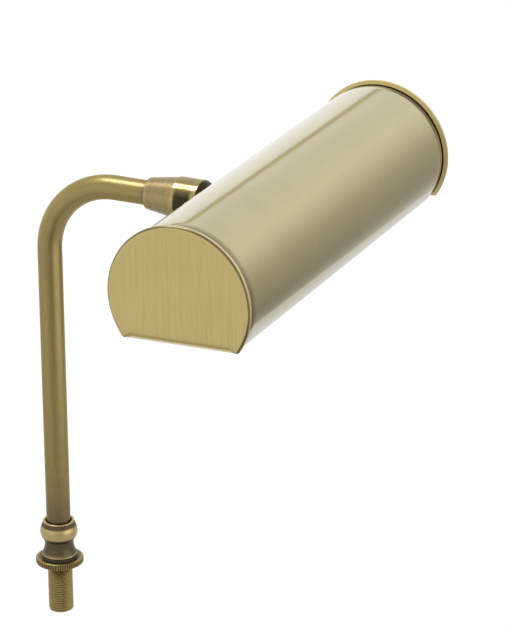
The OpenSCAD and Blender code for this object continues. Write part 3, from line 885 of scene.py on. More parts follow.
@dataclass
class ClampStem:
    """Threaded nipple, panel washer and knurled locknut."""

    # Nipple
    nipple_r: float = 4.925
    bore_r: float = 3.25
    runout_r: float = 4.70
    thread_top: float = 20.2
    nipple_top: float = 30.0
    pitch: float = 1.0
    thread_depth: float = 0.42
    end_chamfer: float = 0.4
    # Washer
    washer_r: float = 7.0
    washer_bore_r: float = 5.255
    washer_low: float = 23.0
    washer_high: float = 24.0
    # Locknut
    nut_low: float = 20.4
    nut_high: float = 23.0
    nut_bore_r: float = 5.005
    ridge_r: float = 9.4
    knurl_depth: float = 0.35
    ridges: int = 60
    rim: float = 0.3
    rim_step: float = 0.1
    # Loss of relief in the thread, painted shade on the nut's flat faces, and the reach of its edges
    groove_dark: float = 0.6
    face_painted_shade: float = 0.2
    relief_reach: float = 0.5
    relief_depth: float = 0.2
    # Fineness of the meshes
    columns: int = 96
    ridge_columns: int = 8
    nut_sharp: float = 60.0
    step: float = 0.08

    def nipple(self) -> bpy.types.Object:
        """The nipple: its profile turned, less the thread's depth times a triangle wave.

        The wave is the distance from one of twice the fraction of length over pitch less the turn.
        """
        crest = self.nipple_r
        outline = even_steps(
            np.array([
                [0.0, self.bore_r],
                [0.0, crest - self.end_chamfer],
                [self.end_chamfer, crest],
                [self.thread_top, crest],
                [self.thread_top + self.rim_step, self.runout_r],
                [self.nipple_top, self.runout_r],
                [self.nipple_top, self.bore_r],
            ]),
            self.step,
        )
        angle = np.linspace(0.0, TURN, self.columns, endpoint=False)[None, :]
        length = outline[:, :1] + 0.0 * angle
        wave = np.abs(2.0 * np.mod(length / self.pitch - angle / TURN, 1.0) - 1.0)
        outside = np.clip((outline[:, 1:] - self.runout_r + self.thread_depth) / self.thread_depth, 0.0, 1.0)
        radius = outline[:, 1:] - self.thread_depth * wave * outside
        relief = 1.0 - self.groove_dark * wave * outside
        return piece("threaded_stem", [turned_grid(POST, length, radius, relief)])

    def washer(self) -> bpy.types.Object:
        """The washer: a rectangle, turned."""
        outline = even_steps(
            np.array([
                [self.washer_low, self.washer_bore_r],
                [self.washer_low, self.washer_r],
                [self.washer_high, self.washer_r],
                [self.washer_high, self.washer_bore_r],
            ]),
            self.step,
        )
        return piece("clamp_washer", [turned(POST, outline, np.full(len(outline), LEVEL))])

    def locknut(self) -> bpy.types.Object:
        """The locknut: its profile turned, plus the knurl's depth times a triangle wave round its side."""
        root = self.ridge_r - self.knurl_depth
        plain = root - self.rim_step
        outline = even_steps(
            np.array([
                [self.nut_low, self.nut_bore_r],
                [self.nut_low, plain - self.rim],
                [self.nut_low + self.rim, plain],
                [self.nut_low + self.rim, root],
                [self.nut_high - self.rim, root],
                [self.nut_high - self.rim, plain],
                [self.nut_high, plain - self.rim],
                [self.nut_high, self.nut_bore_r],
            ]),
            self.step,
        )
        angle = np.linspace(0.0, TURN, self.ridge_columns * self.ridges, endpoint=False)[None, :]
        wave = 1.0 - np.abs(2.0 * np.mod(self.ridges * angle / TURN, 1.0) - 1.0)
        outside = np.clip((outline[:, 1:] - plain) / self.rim_step, 0.0, 1.0)
        radius = outline[:, 1:] + self.knurl_depth * wave * outside
        length = outline[:, :1] + 0.0 * angle
        level = relief_of(outline, self.step, self.relief_reach, self.relief_depth)[:, None]
        # Painted shade: the nut's flat faces are darker
        face = np.clip((plain - 2.0 * self.rim - outline[:, 1:]) / self.rim, 0.0, 1.0)
        relief = (level - self.face_painted_shade * face) * (1.0 - outside) + outside * wave
        return piece("knurled_ring_nut", [turned_grid(POST, length, radius, relief)], self.nut_sharp)

    def build(self, assembly: Assembly, finishes: Finishes) -> None:
        """Builds and dresses the three pieces."""
        brass = finishes.thread_brass
        assembly.add(self.nipple(), brass, Body.STAND, Slot.ANTIQUE, ["threaded_nipple"])
        assembly.add(self.washer(), finishes.fibre_and_gap_shade, Body.WASHER, Slot.FIBRE, ["panel_washer"])
        assembly.add(self.locknut(), finishes.nut_brass, Body.LOCKNUT, Slot.ANTIQUE, ["knurled_locknut"])


@dataclass
class TurnedNeck:
    """The turned neck: foot bead, hollow waist, round bulge and cup rim."""

    # Outside, from the foot up
    foot_z: float = 24.0
    height: float = 14.8
    foot_r: float = 7.0
    foot_bead: float = 0.5
    waist_r: float = 5.7
    waist_z: float = 4.9
    hollow: float = 8.1
    bulge_r: float = 7.35
    bulge_z: float = 10.3
    bulge_side: float = 5.7
    rim_r: float = 6.2
    rim_bead: float = 0.4
    # Inside, from the cup down
    cup_r: float = 5.3
    cup_depth: float = 3.5
    tube_seat_r: float = 4.77
    tube_seat_depth: float = 6.8
    passage_r: float = 3.5
    socket_r: float = 4.72
    socket_depth: float = 6.05
    # Darker bands under the rim and round the waist: height, half width and loss of relief
    dark_band_z: Pair = (13.4, 4.6)
    dark_band_w: Pair = (1.15, 3.6)
    dark_band_loss: Pair = (1.0, 1.5)
    least_relief: float = -0.3
    # Rubbed bands at the foot and the rim: height and relief
    foot_shine: float = 0.68
    foot_relief: float = 0.5
    rim_shine: float = 0.36
    rim_relief: float = 0.85
    # Reach of hollows and edges
    relief_reach: float = 2.0
    relief_depth: float = 0.24
    # Fineness of the mesh
    heights: int = 1500
    step: float = 0.07

    @staticmethod
    def circle(z: np.ndarray, centre_z: float, radius: float) -> np.ndarray:
        """Half width of a circle at each height, or minus one above and below it."""
        inside = radius**2 - (z - centre_z) ** 2
        return np.where(inside >= 0.0, np.sqrt(np.maximum(inside, 0.0)), -1.0)

    def outside(self) -> np.ndarray:
        """Height and radius of the outside: at each height the widest of beads, hollow column and bulge."""
        z = np.linspace(0.0, self.height, self.heights)
        foot_in = self.foot_r - self.foot_bead
        rim_z = self.height - self.rim_bead
        foot = foot_in + self.circle(z, self.foot_bead, self.foot_bead)
        column = self.waist_r + self.hollow - self.circle(z, self.waist_z, self.hollow)
        column = np.where(z < self.bulge_z, np.minimum(column, foot_in), 0.0)
        bulge = self.bulge_r - self.bulge_side + self.circle(z, self.bulge_z, self.bulge_side)
        bulge = np.where((z > self.waist_z) & (z < rim_z), bulge, 0.0)
        rim = self.rim_r - self.rim_bead + self.circle(z, rim_z, self.rim_bead)
        return np.column_stack([z, np.maximum.reduce([foot, column, bulge, rim])])

    def build(self, assembly: Assembly, finishes: Finishes) -> None:
        """Builds and dresses the neck."""
        cup_z = self.height - self.cup_depth
        seat_z = self.height - self.tube_seat_depth
        inside = np.array([
            [self.height, self.cup_r],
            [cup_z, self.cup_r],
            [cup_z, self.tube_seat_r],
            [seat_z, self.tube_seat_r],
            [seat_z, self.passage_r],
            [self.socket_depth, self.passage_r],
            [self.socket_depth, self.socket_r],
            [0.0, self.socket_r],
        ])
        outline = even_steps(np.vstack([self.outside(), inside]), self.step)
        relief = relief_of(outline, self.step, self.relief_reach, self.relief_depth)
        for centre, width, depth in zip(self.dark_band_z, self.dark_band_w, self.dark_band_loss):
            relief = relief - depth * np.exp(-(((outline[:, 0] - centre) / width) ** 2))
        on_rim = self.height - outline[:, 0] < self.rim_shine
        relief = np.where(on_rim, self.rim_relief, np.maximum(relief, self.least_relief))
        relief = np.where(outline[:, 0] < self.foot_shine, self.foot_relief, relief)
        outline = outline + np.array([self.foot_z, 0.0])
        made = piece("turned_neck", [turned(POST, outline, relief)])
        assembly.add(made, finishes.turned_brass, Body.STAND, Slot.ANTIQUE, ["neck"])


@dataclass
class BentArm:
    """The arm tube: post, quarter bend and level arm."""

    # Tube and its path
    radius: float = 4.75
    bore_r: float = 3.75
    low_z: float = 32.05
    bend_r: float = 29.0
    arm_z: float = 182.0
    end_x: float = 51.95
    # Darkening over the cup and beside the sleeve: loss of relief and length over which it fades
    plain_relief: float = 0.55
    cup_dark: float = 0.42
    cup_dark_reach: float = 28.0
    sleeve_dark: float = 0.6
    sleeve_dark_reach: float = 1.5
    # Stretches of tube inside the neck and the sleeve
    hidden_low: float = 6.8
    hidden_high: float = 8.35
    # Fineness of the mesh
    post_rows: int = 90
    bend_rows: int = 64
    arm_rows: int = 40
    columns: int = 96

    def path(self) -> tuple[np.ndarray, np.ndarray, np.ndarray]:
        """The centre line: a straight post, a quarter circle and a straight arm.

        Returns:
            The points, the direction across the tube away from the bend's centre, and the length run so far.
        """
        turn_z = self.arm_z - self.bend_r
        angle = np.linspace(0.0, math.pi / 2.0, self.bend_rows)
        post_z = np.linspace(self.low_z, turn_z, self.post_rows)[:-1]
        arm_x = np.linspace(self.bend_r, self.end_x, self.arm_rows)[1:]
        bend = np.column_stack([self.bend_r * (1.0 - np.cos(angle)), turn_z + self.bend_r * np.sin(angle)])
        post = np.column_stack([0.0 * post_z, post_z])
        arm = np.column_stack([arm_x, 0.0 * arm_x + self.arm_z])
        line = np.vstack([post, bend, arm])
        lean = np.concatenate([0.0 * post_z, angle, 0.0 * arm_x + math.pi / 2.0])
        across = np.column_stack([-np.cos(lean), np.sin(lean)])
        run = np.concatenate([[0.0], np.cumsum(np.linalg.norm(np.diff(line, axis=0), axis=1))])
        return line, across, run

    def build(self, assembly: Assembly, finishes: Finishes) -> None:
        """Carries the outer circle up the path and the bore's circle back down it, and dresses the tube.

        A point is the path's point plus r cos a across the bend plus r sin a along Y.
        """
        line, across, run = self.path()
        there_and_back = np.concatenate([np.arange(len(run)), np.arange(len(run))[::-1]])
        wall = np.repeat([self.radius, self.bore_r], len(run))[:, None]
        angle = np.linspace(0.0, TURN, self.columns, endpoint=False)[None, :]
        sideways = wall * np.cos(angle)
        along_y = wall * np.sin(angle)
        centre = line[there_and_back]
        out = across[there_and_back]
        x = centre[:, :1] + sideways * out[:, :1]
        z = centre[:, 1:] + sideways * out[:, 1:]
        points = np.stack([x, along_y, z], axis=-1) * MM
        length = run[there_and_back][:, None]
        lathe = np.stack([sideways, along_y, length + 0.0 * angle], axis=-1)
        from_cup = np.maximum(length - self.hidden_low, 0.0)
        from_sleeve = np.maximum(run[-1] - self.hidden_high - length, 0.0)
        by_cup = self.cup_dark * np.exp(-from_cup / self.cup_dark_reach)
        by_sleeve = self.sleeve_dark * np.exp(-from_sleeve / self.sleeve_dark_reach)
        relief = self.plain_relief - by_cup - by_sleeve + 0.0 * angle
        made = piece("bent_arm_tube", [Surface(points, lathe, relief)])
        assembly.add(made, finishes.tube_brass, Body.STAND, Slot.ANTIQUE, ["arm_tube"])


@dataclass
class BallSwivel:
    """Sleeve, cap, ball stud and saddle washer, measured from the ball's centre."""

    # Ball, and the fall of the stud below the arm in degrees
    ball: Point = (63.0, 0.0, 182.0)
    droop: float = 3.73
    # Sleeve
    cone_back: float = 19.4
    cone_small_r: float = 6.1
    cone_large_r: float = 8.0
    joint_back: float = 7.0
    tube_seat_r: float = 4.77
    tube_chamfer: float = 0.4
    tube_depth: float = 8.4
    web_back: float = 9.5
    web_hole_r: float = 3.0
    chamber_r: float = 6.36
    spigot_r: float = 7.2
    spigot_len: float = 3.5
    # Cap
    joint_gap: float = 0.02
    spigot_gap: float = 0.05
    cap_r: float = 8.2
    shoulder: float = 2.0
    nose_round: float = 4.17
    nose: float = 5.5
    seat_r: float = 6.28
    mouth: float = 4.0
    mouth_r: float = 5.5
    # Stud
    ball_r: float = 6.2
    ball_flat: float = 4.836
    stud_neck_r: float = 2.3
    collar: float = 8.2
    collar_t: float = 0.7
    collar_r: float = 4.5
    stud_r: float = 2.5
    stud_bore_r: float = 1.4
    stud_end: float = 17.6
    # Saddle washer, and the shade that it fits
    saddle_base: float = 8.92
    saddle_r: float = 5.2
    saddle_hole_r: float = 2.6
    saddle_round: float = 0.35
    shade_x: float = 36.88
    shade_r: float = 26.8
    # Darkening of the cap's nose, and painted shade under its barrel that leaves its top light
    nose_dark_reach: float = 1.0
    nose_relief: float = -0.5
    barrel_painted_shade: float = 0.42
    painted_shade_from: float = 0.88
    painted_shade_fade: float = 0.5
    # Rubbed rings at the barrel's ends: half width and gain of relief
    ring_w: float = 1.0
    ring_relief: float = 0.85
    back_ring: float = 0.9
    back_relief: float = 0.7
    # Reliefs of the other pieces
    saddle_relief: float = 0.45
    relief_reach: float = 0.8
    relief_depth: float = 0.3
    # Fineness of the meshes
    arc_rows: int = 40
    ball_rows: int = 60
    corner_rows: int = 8
    columns: int = 128
    saddle_columns: int = 96
    step: float = 0.08

    def arm_spindle(self) -> Spindle:
        """The arm's axis from the ball's centre."""
        return Spindle(self.ball, (1.0, 0.0, 0.0), (0.0, 0.0, 1.0))

    def stud_spindle(self) -> Spindle:
        """The stud's axis from the ball's centre, drooped below the arm."""
        lean = math.radians(self.droop)
        along = (math.cos(lean), 0.0, -math.sin(lean))
        return Spindle(self.ball, along, (math.sin(lean), 0.0, math.cos(lean)))

    def relief(self, outline: np.ndarray) -> np.ndarray:
        """Relief of a profile of the swivel."""
        return relief_of(outline, self.step, self.relief_reach, self.relief_depth)

    def sleeve(self) -> bpy.types.Object:
        """The sleeve: cone, spigot, spring chamber, web and tube seat, turned about the arm."""
        joint = -self.joint_back
        seat_end = -self.cone_back + self.tube_depth
        outline = even_steps(
            np.array([
                [-self.cone_back, self.tube_seat_r + self.tube_chamfer],
                [-self.cone_back, self.cone_small_r],
                [joint, self.cone_large_r],
                [joint, self.spigot_r],
                [joint + self.spigot_len, self.spigot_r],
                [joint + self.spigot_len, self.chamber_r],
                [-self.web_back, self.chamber_r],
                [-self.web_back, self.web_hole_r],
                [seat_end, self.web_hole_r],
                [seat_end, self.tube_seat_r],
                [-self.cone_back + self.tube_chamfer, self.tube_seat_r],
            ]),
            self.step,
        )
        return piece("swivel_cone_sleeve", [turned(self.arm_spindle(), outline, self.relief(outline))])

    def cap(self) -> bpy.types.Object:
        """The cap: barrel, nose arc, flared mouth, ball seat arc and thread bore, turned about the arm.

        Painted shade darkens the barrel away from its top, where the cosine of the angle is near one, and
        the patina is rubbed off the rings at both ends of the barrel.
        """
        joint = -self.joint_back + self.joint_gap
        counter = self.spigot_r + self.spigot_gap
        counter_end = -self.joint_back + self.spigot_len + self.spigot_gap
        nose_in = self.cap_r - self.nose_round
        nose_angle = math.degrees(math.asin((self.nose - self.shoulder) / self.nose_round))
        nose = arc((nose_in, self.shoulder), self.nose_round, 0.0, nose_angle, self.arc_rows)[:, ::-1]
        seat_angle = math.degrees(math.asin(self.mouth / self.seat_r))
        seat = arc((0.0, 0.0), self.seat_r, seat_angle, 0.0, self.arc_rows)[:, ::-1]
        outline = np.vstack([
            [[joint, counter], [joint, self.cap_r]],
            nose,
            [[self.nose, self.mouth_r]],
            seat,
            [[0.0, self.chamber_r], [counter_end, self.chamber_r], [counter_end, counter]],
        ])
        outline = even_steps(outline, self.step)
        angle = np.linspace(0.0, TURN, self.columns, endpoint=False)[None, :]
        # Painted shade: the barrel darkens towards its underside and stays light on top
        below = np.clip((self.painted_shade_from - np.cos(angle)) / self.painted_shade_fade, 0.0, 1.0)
        past = outline[:, :1] - self.shoulder
        nose_share = np.clip(past / self.nose_dark_reach, 0.0, 1.0)
        ring = np.exp(-((past / self.ring_w) ** 2))
        back = np.exp(-(((outline[:, :1] - joint) / self.back_ring) ** 2))
        barrel = self.relief(outline)[:, None] - self.barrel_painted_shade * below
        rubbed = self.ring_relief * ring + self.back_relief * back
        relief = barrel * (1.0 - nose_share) + self.nose_relief * nose_share + rubbed
        return piece("swivel_barrel_cap", [turned(self.arm_spindle(), outline, relief, self.columns)])

    def stud(self) -> bpy.types.Object:
        """The stud: flat-backed ball, neck, collar and hollow shank, turned about the stud's axis."""
        back_angle = math.degrees(math.acos(-self.ball_flat / self.ball_r))
        neck_angle = math.degrees(math.asin(self.stud_neck_r / self.ball_r))
        ball = arc((0.0, 0.0), self.ball_r, back_angle, neck_angle, self.ball_rows)
        outline = np.vstack([
            [[-self.ball_flat, self.stud_bore_r]],
            ball,
            [
                [self.collar, self.stud_neck_r],
                [self.collar, self.collar_r],
                [self.collar + self.collar_t, self.collar_r],
                [self.collar + self.collar_t, self.stud_r],
                [self.stud_end, self.stud_r],
                [self.stud_end, self.stud_bore_r],
            ],
        ])
        outline = even_steps(outline, self.step)
        return piece("swivel_ball_stud", [turned(self.stud_spindle(), outline, self.relief(outline))])

    def saddle(self) -> bpy.types.Object:
        """The saddle washer: a turned disc whose front follows the shade.

        The front lies at the shade's distance less the root of its radius squared less the height squared.
        """
        angle = np.linspace(0.0, TURN, self.saddle_columns, endpoint=False)[None, :]
        corner_at = (self.saddle_base + self.saddle_round, self.saddle_r - self.saddle_round)
        corner = arc(corner_at, self.saddle_round, 180.0, 90.0, self.corner_rows)
        back = np.vstack([[[self.saddle_base, self.saddle_hole_r]], corner])
        front_r = np.array([[self.saddle_r], [self.saddle_hole_r]]) + 0.0 * angle
        front = self.shade_x - np.sqrt(self.shade_r**2 - (front_r * np.cos(angle)) ** 2)
        length = np.vstack([back[:, :1] + 0.0 * angle, front])
        radius = np.vstack([back[:, 1:] + 0.0 * angle, front_r])
        relief = np.full(len(radius), self.saddle_relief)
        return piece("shade_saddle", [turned_grid(self.stud_spindle(), length, radius, relief)])

    def build(self, assembly: Assembly, finishes: Finishes) -> None:
        """Builds and dresses the swivel, and dresses the pieces that stay hidden in it."""
        brass = finishes.swivel_brass
        assembly.add(self.sleeve(), brass, Body.STAND, Slot.ANTIQUE, ["swivel_sleeve"])
        assembly.add(self.cap(), finishes.barrel_brass, Body.STAND, Slot.ANTIQUE, ["swivel_cap"])
        assembly.add(self.stud(), finishes.steel, Body.SHADE, Slot.STEEL, ["ball_stud"])
        assembly.add(self.saddle(), brass, Body.SHADE, Slot.ANTIQUE, ["saddle_washer"])
        assembly.dress("disc_spring", finishes.steel)
        assembly.dress("friction_cup", finishes.nylon)
        assembly.dress("stud_lock_washer", finishes.steel)
        assembly.dress("stud_nut", finishes.steel)


@dataclass
class HalfRoundShade:
    """The rolled shell and its two pressed end caps, in the shade's own leaning frame."""

    # Axis, and the lean of the underside in degrees
    axis_x: float = 99.802
    axis_z: float = 179.601
    lean: float = 1.4
    # Shell
    radius: float = 26.75
    sheet: float = 0.8
    shell_half: float = 87.75
    end_taper: float = 7.0
    end_draw: float = 1.0
    end_lift: float = 0.6
    drop: float = 16.5
    # Caps
    half_len: float = 88.65
    cap_r: float = 27.9
    cap_depth: float = 1.6
    cap_round: float = 1.1
    corner_round: float = 1.3
    bare_depth: float = 1.15
    # Folded lower edge of a cap
    fold_h: float = 2.4
    fold_in: float = 0.4
    bevel_h: float = 1.1
    facet_power: float = 1.3
    bevel_power: float = 1.15
    # Lip behind a cap
    lip_half: float = 18.27
    lip_fade: float = 0.8
    lip_w: float = 1.45
    lip_rise: float = 0.6
    lip_shares: Point = (0.1, 0.5, 0.9)
    # Painted shade at the far and the near end of the shell, in shares of the drawn-in stretch
    far_shade_from: float = 0.12
    far_shade_fade: float = 0.16
    near_shade_from: float = -0.5
    near_shade_fade: float = 0.9
    near_shade_strength: float = 0.7
    # Painted shade line round a cap's face, over these radians of its edge, and the rim's painted highlight
    line_arc: Pair = (0.3, 1.2)
    painted_line_relief: float = 0.12
    rim_relief: float = 0.8
    # Fineness of the meshes
    taper_rows: int = 15
    middle_rows: int = 60
    arc_columns: int = 150
    curl_columns: int = 9
    shell_sharp: float = 70.0
    cap_columns: int = 260
    corner_columns: int = 14
    straight_columns: int = 120
    flat_rows: int = 14
    fold_rows: int = 6
    run_rows: int = 6

    def spindle(self) -> Spindle:
        """The shade's axis along Y, with its side direction along the leaning underside."""
        lean = math.radians(self.lean)
        side = (math.cos(lean), 0.0, math.sin(lean))
        return Spindle((self.axis_x, 0.0, self.axis_z), (0.0, 1.0, 0.0), side)

    def place(self, across: np.ndarray, up: np.ndarray, along: np.ndarray) -> tuple[np.ndarray, np.ndarray]:
        """Points in the shade's frame.

        Args:
            across: Distance along the leaning underside.
            up: Height over the axis.
            along: Distance along the shade.

        Returns:
            The points in metres in the row frame, and the same points as across, up and along.
        """
        local = np.stack([across, up, along], axis=-1)
        turned_up = np.stack([across, -up, along], axis=-1)
        return self.spindle().place(turned_up), local

    def shell(self) -> bpy.types.Object:
        """The shell: a rolled sheet with round edges, carried along the axis and drawn in at the ends.

        A section point is the middle radius plus or minus half the sheet on the arc, and a half circle of
        half the sheet at each edge. The draw is the square of the share of the end stretch. The relief falls
        beside the caps, where the finish lays painted shade.
        """
        half = 0.5 * self.sheet
        ends = np.linspace(self.shell_half - self.end_taper, self.shell_half, self.taper_rows)
        middle = np.linspace(-ends[0], ends[0], self.middle_rows)[1:-1]
        along = np.concatenate([-ends[::-1], middle, ends])
        past = np.clip(np.abs(along) - ends[0], 0.0, None) / self.end_taper
        mid_r = (self.radius - half - self.end_draw * past**2)[:, None]
        low = np.arcsin((self.drop - half - self.end_lift * past[:, None] ** 2) / mid_r)
        share = np.linspace(0.0, 1.0, self.arc_columns)[None, :]
        angle = -low + share * (math.pi + 2.0 * low)
        curl = np.linspace(0.0, math.pi, self.curl_columns)[None, 1:-1]
        left = math.pi + low + 0.0 * curl
        right = -low + 0.0 * curl
        radial = np.hstack([
            mid_r + half + 0.0 * angle,
            mid_r + half * np.cos(curl),
            mid_r - half + 0.0 * angle,
            mid_r - half * np.cos(curl),
        ])
        around = np.hstack([angle, left, angle[:, ::-1], right])
        edge_curl = half * np.sin(curl) + 0.0 * left
        sideways = np.hstack([0.0 * angle, edge_curl, 0.0 * angle, -edge_curl])
        across = radial * np.cos(around) - sideways * np.sin(around)
        up = radial * np.sin(around) + sideways * np.cos(around)
        shut_across = mid_r * np.cos(around) - sideways * np.sin(around)
        shut_up = mid_r * np.sin(around) + sideways * np.cos(around)
        across = np.vstack([shut_across[:1], across, shut_across[-1:]])
        up = np.vstack([shut_up[:1], up, shut_up[-1:]])
        along = np.concatenate([along[:1], along, along[-1:]])[:, None] + 0.0 * up
        points, lathe = self.place(across, up, along)
        # Painted shade: the relief falls towards both ends of the shell, and the finish darkens it there
        end_share = (np.abs(along) - self.shell_half + self.end_taper) / self.end_taper
        far_end_shade = np.clip((end_share - self.far_shade_from) / self.far_shade_fade, 0.0, 1.0)
        near_end_shade = self.near_shade_strength * np.clip((end_share - self.near_shade_from) / self.near_shade_fade, 0.0, 1.0)
        relief = LEVEL * (1.0 - np.where(along > 0.0, far_end_shade, near_end_shade))
        made = Surface(points, lathe, relief, rows_closed=False)
        return piece("rolled_shade_shell", [made], self.shell_sharp)

    def cap_outline(self) -> tuple[np.ndarray, np.ndarray, np.ndarray, np.ndarray]:
        """The cap's outline: a large arc, a straight underside and two small corner arcs.

        Returns:
            The outline's points, the outward normals, and each point's depth of rim and share of fold.
        """
        corner_r = self.cap_r - self.corner_round
        corner_z = -self.drop + self.corner_round
        corner_x = math.sqrt(corner_r**2 - corner_z**2)
        meet = math.degrees(math.atan2(corner_z, corner_x))
        straight = np.linspace(-corner_x, corner_x, self.straight_columns)[1:-1]
        turn = np.radians(np.concatenate([
            np.linspace(meet, 180.0 - meet, self.cap_columns),
            np.linspace(180.0 - meet, 270.0, self.corner_columns)[1:],
            np.full(len(straight), 270.0),
            np.linspace(-90.0, meet, self.corner_columns)[:-1],
        ]))
        normal = np.column_stack([np.cos(turn), np.sin(turn)])
        centre = np.vstack([
            np.zeros((self.cap_columns, 2)),
            np.tile([-corner_x, corner_z], (self.corner_columns - 1, 1)),
            np.column_stack([straight, np.full(len(straight), corner_z)]),
            np.tile([corner_x, corner_z], (self.corner_columns - 1, 1)),
        ])
        reach = np.full(len(turn), self.corner_round)
        reach[:self.cap_columns] = self.cap_r
        points = centre + reach[:, None] * normal
        flat = points[:, 1] < -self.drop + 0.5 * self.corner_round
        lip = np.clip((self.lip_half - np.abs(points[:, 0])) / self.lip_fade, 0.0, 1.0)
        bare = self.bare_depth + (self.cap_depth - self.bare_depth) * lip
        depth = np.where(flat, bare, self.cap_depth)
        fold = np.clip((corner_x - np.abs(points[:, 0])) / self.fold_h, 0.0, 1.0)
        return points, normal, depth, np.where(flat, fold, 0.0)

    def folded_edge(self, rows: int) -> tuple[np.ndarray, np.ndarray]:
        """The edge along the underside: a facet that leans back, then a steeper bevel.

        On each the inset falls evenly, and the depth is a power of the share that is done.

        Args:
            rows: Number of points on each of the two.

        Returns:
            The inset and the depth of each point.
        """
        share = np.linspace(0.0, 1.0, rows)
        bevel = np.linspace(0.0, 1.0, rows + 1)[1:]
        facet_in = self.fold_h - (self.fold_h - self.bevel_h) * share
        facet_back = self.fold_in * share**self.facet_power
        bevel_in = self.bevel_h * (1.0 - bevel)
        bevel_back = self.fold_in + (self.cap_round - self.fold_in) * bevel**self.bevel_power
        return np.concatenate([facet_in, bevel_in]), np.concatenate([facet_back, bevel_back])

    def cap(self, name: str, side: int) -> bpy.types.Object:
        """A cap: rings from the middle of its face, round its edge, along its rim and back along the inside.

        A ring is the outline moved inwards by an inset at a depth behind the face, and the flat rings are
        the inset outline scaled towards the middle. The edge is a quarter circle that turns into the folded
        edge along the underside.

        Args:
            name: The piece's name.
            side: Minus one for the near cap, plus one for the far cap.

        Returns:
            The cap.
        """
        outline, normal, rim, fold = self.cap_outline()
        columns = np.zeros((1, len(rim)))
        flat = np.linspace(0.0, 1.0, self.flat_rows)[:-1, None] + columns
        edge_row = np.arange(2 * self.fold_rows)[:, None]
        edge = np.radians(np.linspace(0.0, 90.0, 2 * self.fold_rows))[:, None]
        folded_in, folded_back = self.folded_edge(self.fold_rows)
        edge_in = self.cap_round * (1.0 - np.sin(edge)) * (1.0 - fold) + folded_in[:, None] * fold
        edge_back = self.cap_round * (1.0 - np.cos(edge)) * (1.0 - fold) + folded_back[:, None] * fold
        run = np.linspace(0.0, 1.0, self.run_rows)[1:, None]
        run_back = self.cap_round + run * np.maximum(rim - self.cap_round, 0.0)
        lip = np.array(self.lip_shares)[:, None] + columns
        back = edge[::-1]
        inner_in = np.maximum(self.cap_round * (1.0 - np.sin(back)), self.lip_w) + columns
        inner_back = self.cap_round * (1.0 - np.cos(back)) + self.sheet * np.cos(back) + columns
        inset = np.vstack([
            edge_in[:1] + 0.0 * flat,
            edge_in,
            0.0 * run_back,
            self.lip_w * lip,
            self.lip_w + 0.0 * run_back,
            inner_in,
            self.lip_w + 0.0 * flat,
        ])
        behind = np.vstack([
            0.0 * flat,
            edge_back,
            run_back,
            run_back[-1:] + self.lip_rise * lip,
            (run_back + self.lip_rise * run)[::-1],
            inner_back,
            self.sheet + 0.0 * flat,
        ])
        # Painted highlight along the folded edge's bevel, and a painted shade line on the round edge
        bevel_highlight = np.where(edge_row >= self.fold_rows, self.rim_relief, LEVEL)
        in_line = (edge > self.line_arc[0]) & (edge < self.line_arc[1])
        edge_painted_marks = np.where(in_line, self.painted_line_relief, LEVEL) * (1.0 - fold) + bevel_highlight * fold
        hidden = [0.0 * part for part in (run_back, inner_in, flat)]
        # The rim takes the painted highlight, and the hidden inner rows take the painted shade
        relief = np.vstack([
            LEVEL + 0.0 * flat,
            edge_painted_marks,
            self.rim_relief + 0.0 * run_back,
            LEVEL + 0.0 * lip,
            *hidden,
        ])
        shrink = np.vstack([flat, np.ones((len(inset) - 2 * len(flat), 1)) + columns, flat[::-1]])
        ring = (outline - inset[:, :, None] * normal) * shrink[:, :, None]
        points, lathe = self.place(ring[..., 0], ring[..., 1], side * (self.half_len - behind))
        return piece(name, [Surface(points, lathe, relief, rows_closed=False)])

    def build(self, assembly: Assembly, finishes: Finishes) -> None:
        """Builds and dresses the shell and both caps."""
        assembly.add(self.shell(), finishes.shell_brass, Body.SHADE, Slot.BRUSHED, ["shade_shell"])
        near = self.cap("near_pressed_cap", -1)
        far = self.cap("far_pressed_cap", 1)
        assembly.add(near, finishes.cap_brass, Body.SHADE, Slot.BRUSHED, ["near_end_cap"])
        assembly.add(far, finishes.cap_brass, Body.SHADE, Slot.BRUSHED, ["far_end_cap"])


